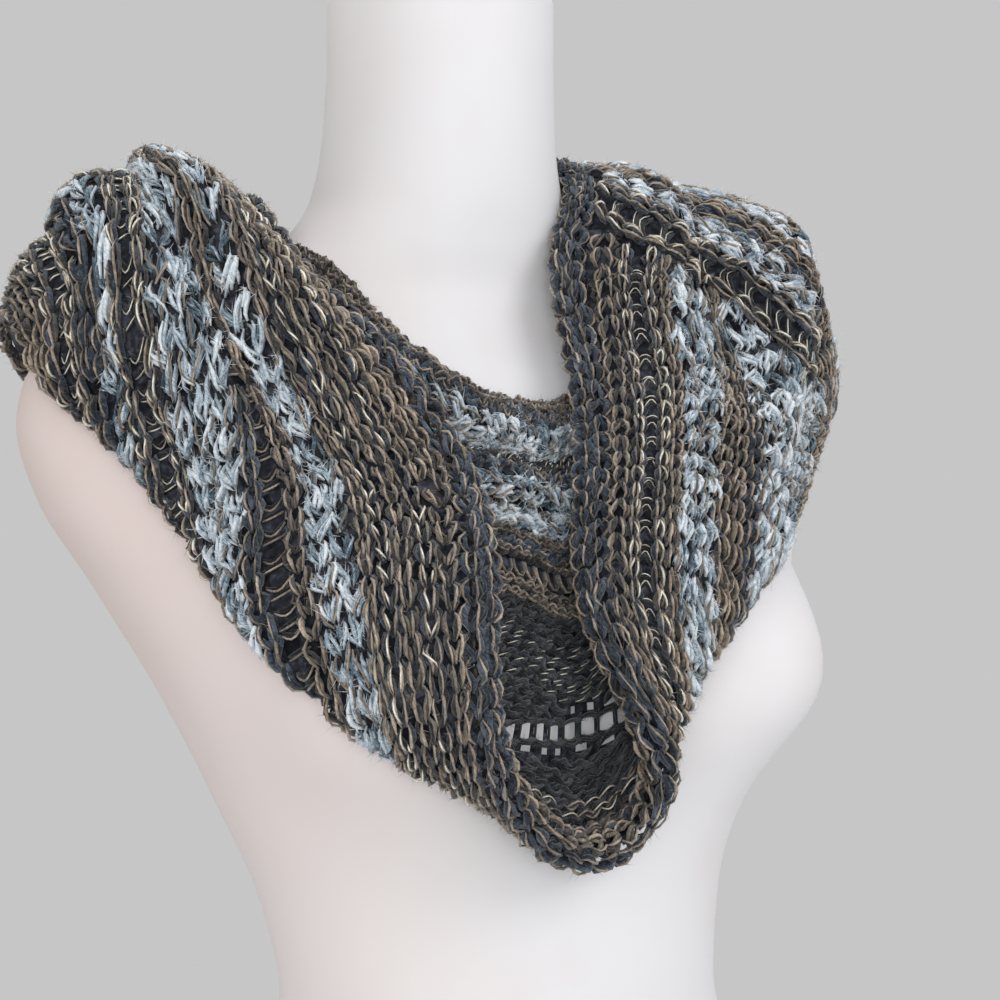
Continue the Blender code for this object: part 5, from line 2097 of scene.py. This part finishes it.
# ---------------------------------------------------------------- the form and the room
@dataclass
class DressForm:
    """The limbless form and the cap on its neck, as smooth moulded shells."""

    shape: FormShape
    rings: int = 120
    sides: int = 120
    sharp_angle: float = 50.0

    def build(self) -> bpy.types.Object:
        """Makes the form: the shape's skin on a fine grid of angle and height, ends closed flat.

        Returns:
            The object.
        """
        heights = np.array([ring[0] for ring in self.shape.rings])
        height = np.interp(np.linspace(0, 1, self.rings), np.linspace(0, 1, len(heights)), heights)
        angle = np.linspace(0, 2 * np.pi, self.sides, endpoint=False)
        height, angle = np.meshgrid(height, angle, indexing="ij")
        points = self.shape.skin(angle, height).reshape(-1, 3)
        corners = grid_corners(self.rings, self.sides, round_columns=True)
        ring = np.arange(self.sides)
        caps = np.stack([ring[::-1], (self.rings - 1) * self.sides + ring])
        item = mesh_object("moulded_form", points, [corners, caps])
        item.data.set_sharp_from_angle(angle=np.radians(self.sharp_angle))
        # The form's plastic: its first colour is painted shade on the side away from the key lamp.
        item.data.materials.append(PlasticFinish(
            "form_shell", shaded_side=(0.74, 0.62, 0.58), cool=(0.80, 0.80, 0.82), patch=(0.76, 0.68, 0.67)).make())
        return item

    def dress_cap(self) -> None:
        """Gives the neck's cap its plastic."""
        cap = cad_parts["neck_cap"]
        cap.data.materials.clear()
        # The cap's plastic, with a faint painted shade on the same side.
        cap.data.materials.append(PlasticFinish(
            "cap_shell", shaded_side=(0.80, 0.79, 0.78), cool=(0.84, 0.85, 0.86), patch=(0.80, 0.80, 0.80),
            roughness=0.30).make())


@dataclass
class Studio:
    """Camera, pale floor and soft light."""

    backdrop: tuple = (0.565, 0.565, 0.565)
    eye: tuple = (-0.42508, -0.76881, 0.481)
    turn: float = -30.0
    pitch: float = -3.0
    lens: float = 66.42
    sensor: float = 36.0
    aim: tuple = (0.0, 0.0, 0.42)
    # name, place, size and power of each lamp
    lamps: tuple = (("key", (0.9, -1.5, 1.5), 1.1, 13.0), ("fill", (-1.6, -1.0, 0.9), 1.4, 9.0),
                    ("top", (0.1, 0.5, 1.9), 1.2, 9.0), ("front", (-0.45, -0.95, 0.56), 0.35, 2.2))
    floor_radius: float = 0.56
    floor_sides: int = 96
    floor_drop: float = 0.0005
    floor_color: tuple = (0.72, 0.72, 0.72, 1.0)

    @staticmethod
    def place(name: str, data: bpy.types.ID, eye: tuple, forward: Vector) -> bpy.types.Object:
        """Puts a camera or a lamp into the scene, looking along forward.

        Args:
            name: Its name.
            data: The camera or the lamp.
            eye: Its place.
            forward: Where it looks.

        Returns:
            The object.
        """
        item = bpy.data.objects.new(name, data)
        item.matrix_world = Matrix.Translation(eye) @ forward.to_track_quat("-Z", "Y").to_matrix().to_4x4()
        bpy.context.scene.collection.objects.link(item)
        return item

    def build(self) -> None:
        """Makes the camera, the floor, the sky's even light and the soft lamps."""
        scene = bpy.context.scene
        scene.view_settings.view_transform = "Standard"
        turn, pitch = np.radians(self.turn), np.radians(self.pitch)
        camera = bpy.data.cameras.new("camera")
        camera.sensor_width, camera.lens = self.sensor, self.lens
        scene.camera = self.place("camera", camera, self.eye, Vector(
            (-np.sin(turn) * np.cos(pitch), np.cos(turn) * np.cos(pitch), np.sin(pitch))))
        scene.world = bpy.data.worlds.new("studio")
        scene.world.use_nodes = True
        scene.world.node_tree.nodes["Background"].inputs["Color"].default_value = (*self.backdrop, 1)
        for name, place, size, power in self.lamps:
            lamp = bpy.data.lights.new(name, "AREA")
            lamp.energy, lamp.size = power, size
            self.place(name, lamp, place, Vector(self.aim) - Vector(place))
        turn = np.linspace(0, 2 * np.pi, self.floor_sides, endpoint=False)
        ring = np.stack([self.floor_radius * np.cos(turn), self.floor_radius * np.sin(turn),
                         np.full(self.floor_sides, -self.floor_drop)], -1)
        floor = mesh_object("floor", ring, [np.arange(self.floor_sides)[None]])
        finish, tree, shader = new_material("floor")
        feed(tree, shader.inputs["Base Color"], self.floor_color)
        feed(tree, shader.inputs["Roughness"], 0.9)
        floor.data.materials.append(finish)


SCARF_NODES = ("right_front_flap", "right_shoulder", "back", "left_shoulder", "left_front_flap",
               "inner_front", "inner_back", "rolled_edge")


def main() -> None:
    """Builds the studio, the form, the dark backing sheet that paints the shade between the stitches, and the
    yarn, in that order.
    """
    logging.basicConfig(level=logging.INFO, format="%(name)s: %(message)s")
    Studio().build()
    shape = FormShape()
    form = DressForm(shape)
    shell = form.build()
    form.dress_cap()
    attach(shell, "root")
    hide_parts("dress_form")
    LOG.info("moulded_form: %d faces", len(shell.data.polygons))

    strip = Strip(shape)
    holes = DroppedStitches()
    palette = Palette()
    shade_backing = ShadeBackingSheet(strip, holes).build(palette)
    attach(shade_backing, "root")
    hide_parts(*SCARF_NODES)
    LOG.info("shade_backing_sheet: %d faces", len(shade_backing.data.polygons))

    knit = Knit(strip, holes, np.random.default_rng(11))
    knit.lay_rope()
    knit.lay_right_side()
    knit.lay_wrong_side()
    yarns = knit.build(palette)
    for item in yarns:
        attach(item, "root")


if __name__ == "__main__":
    main()
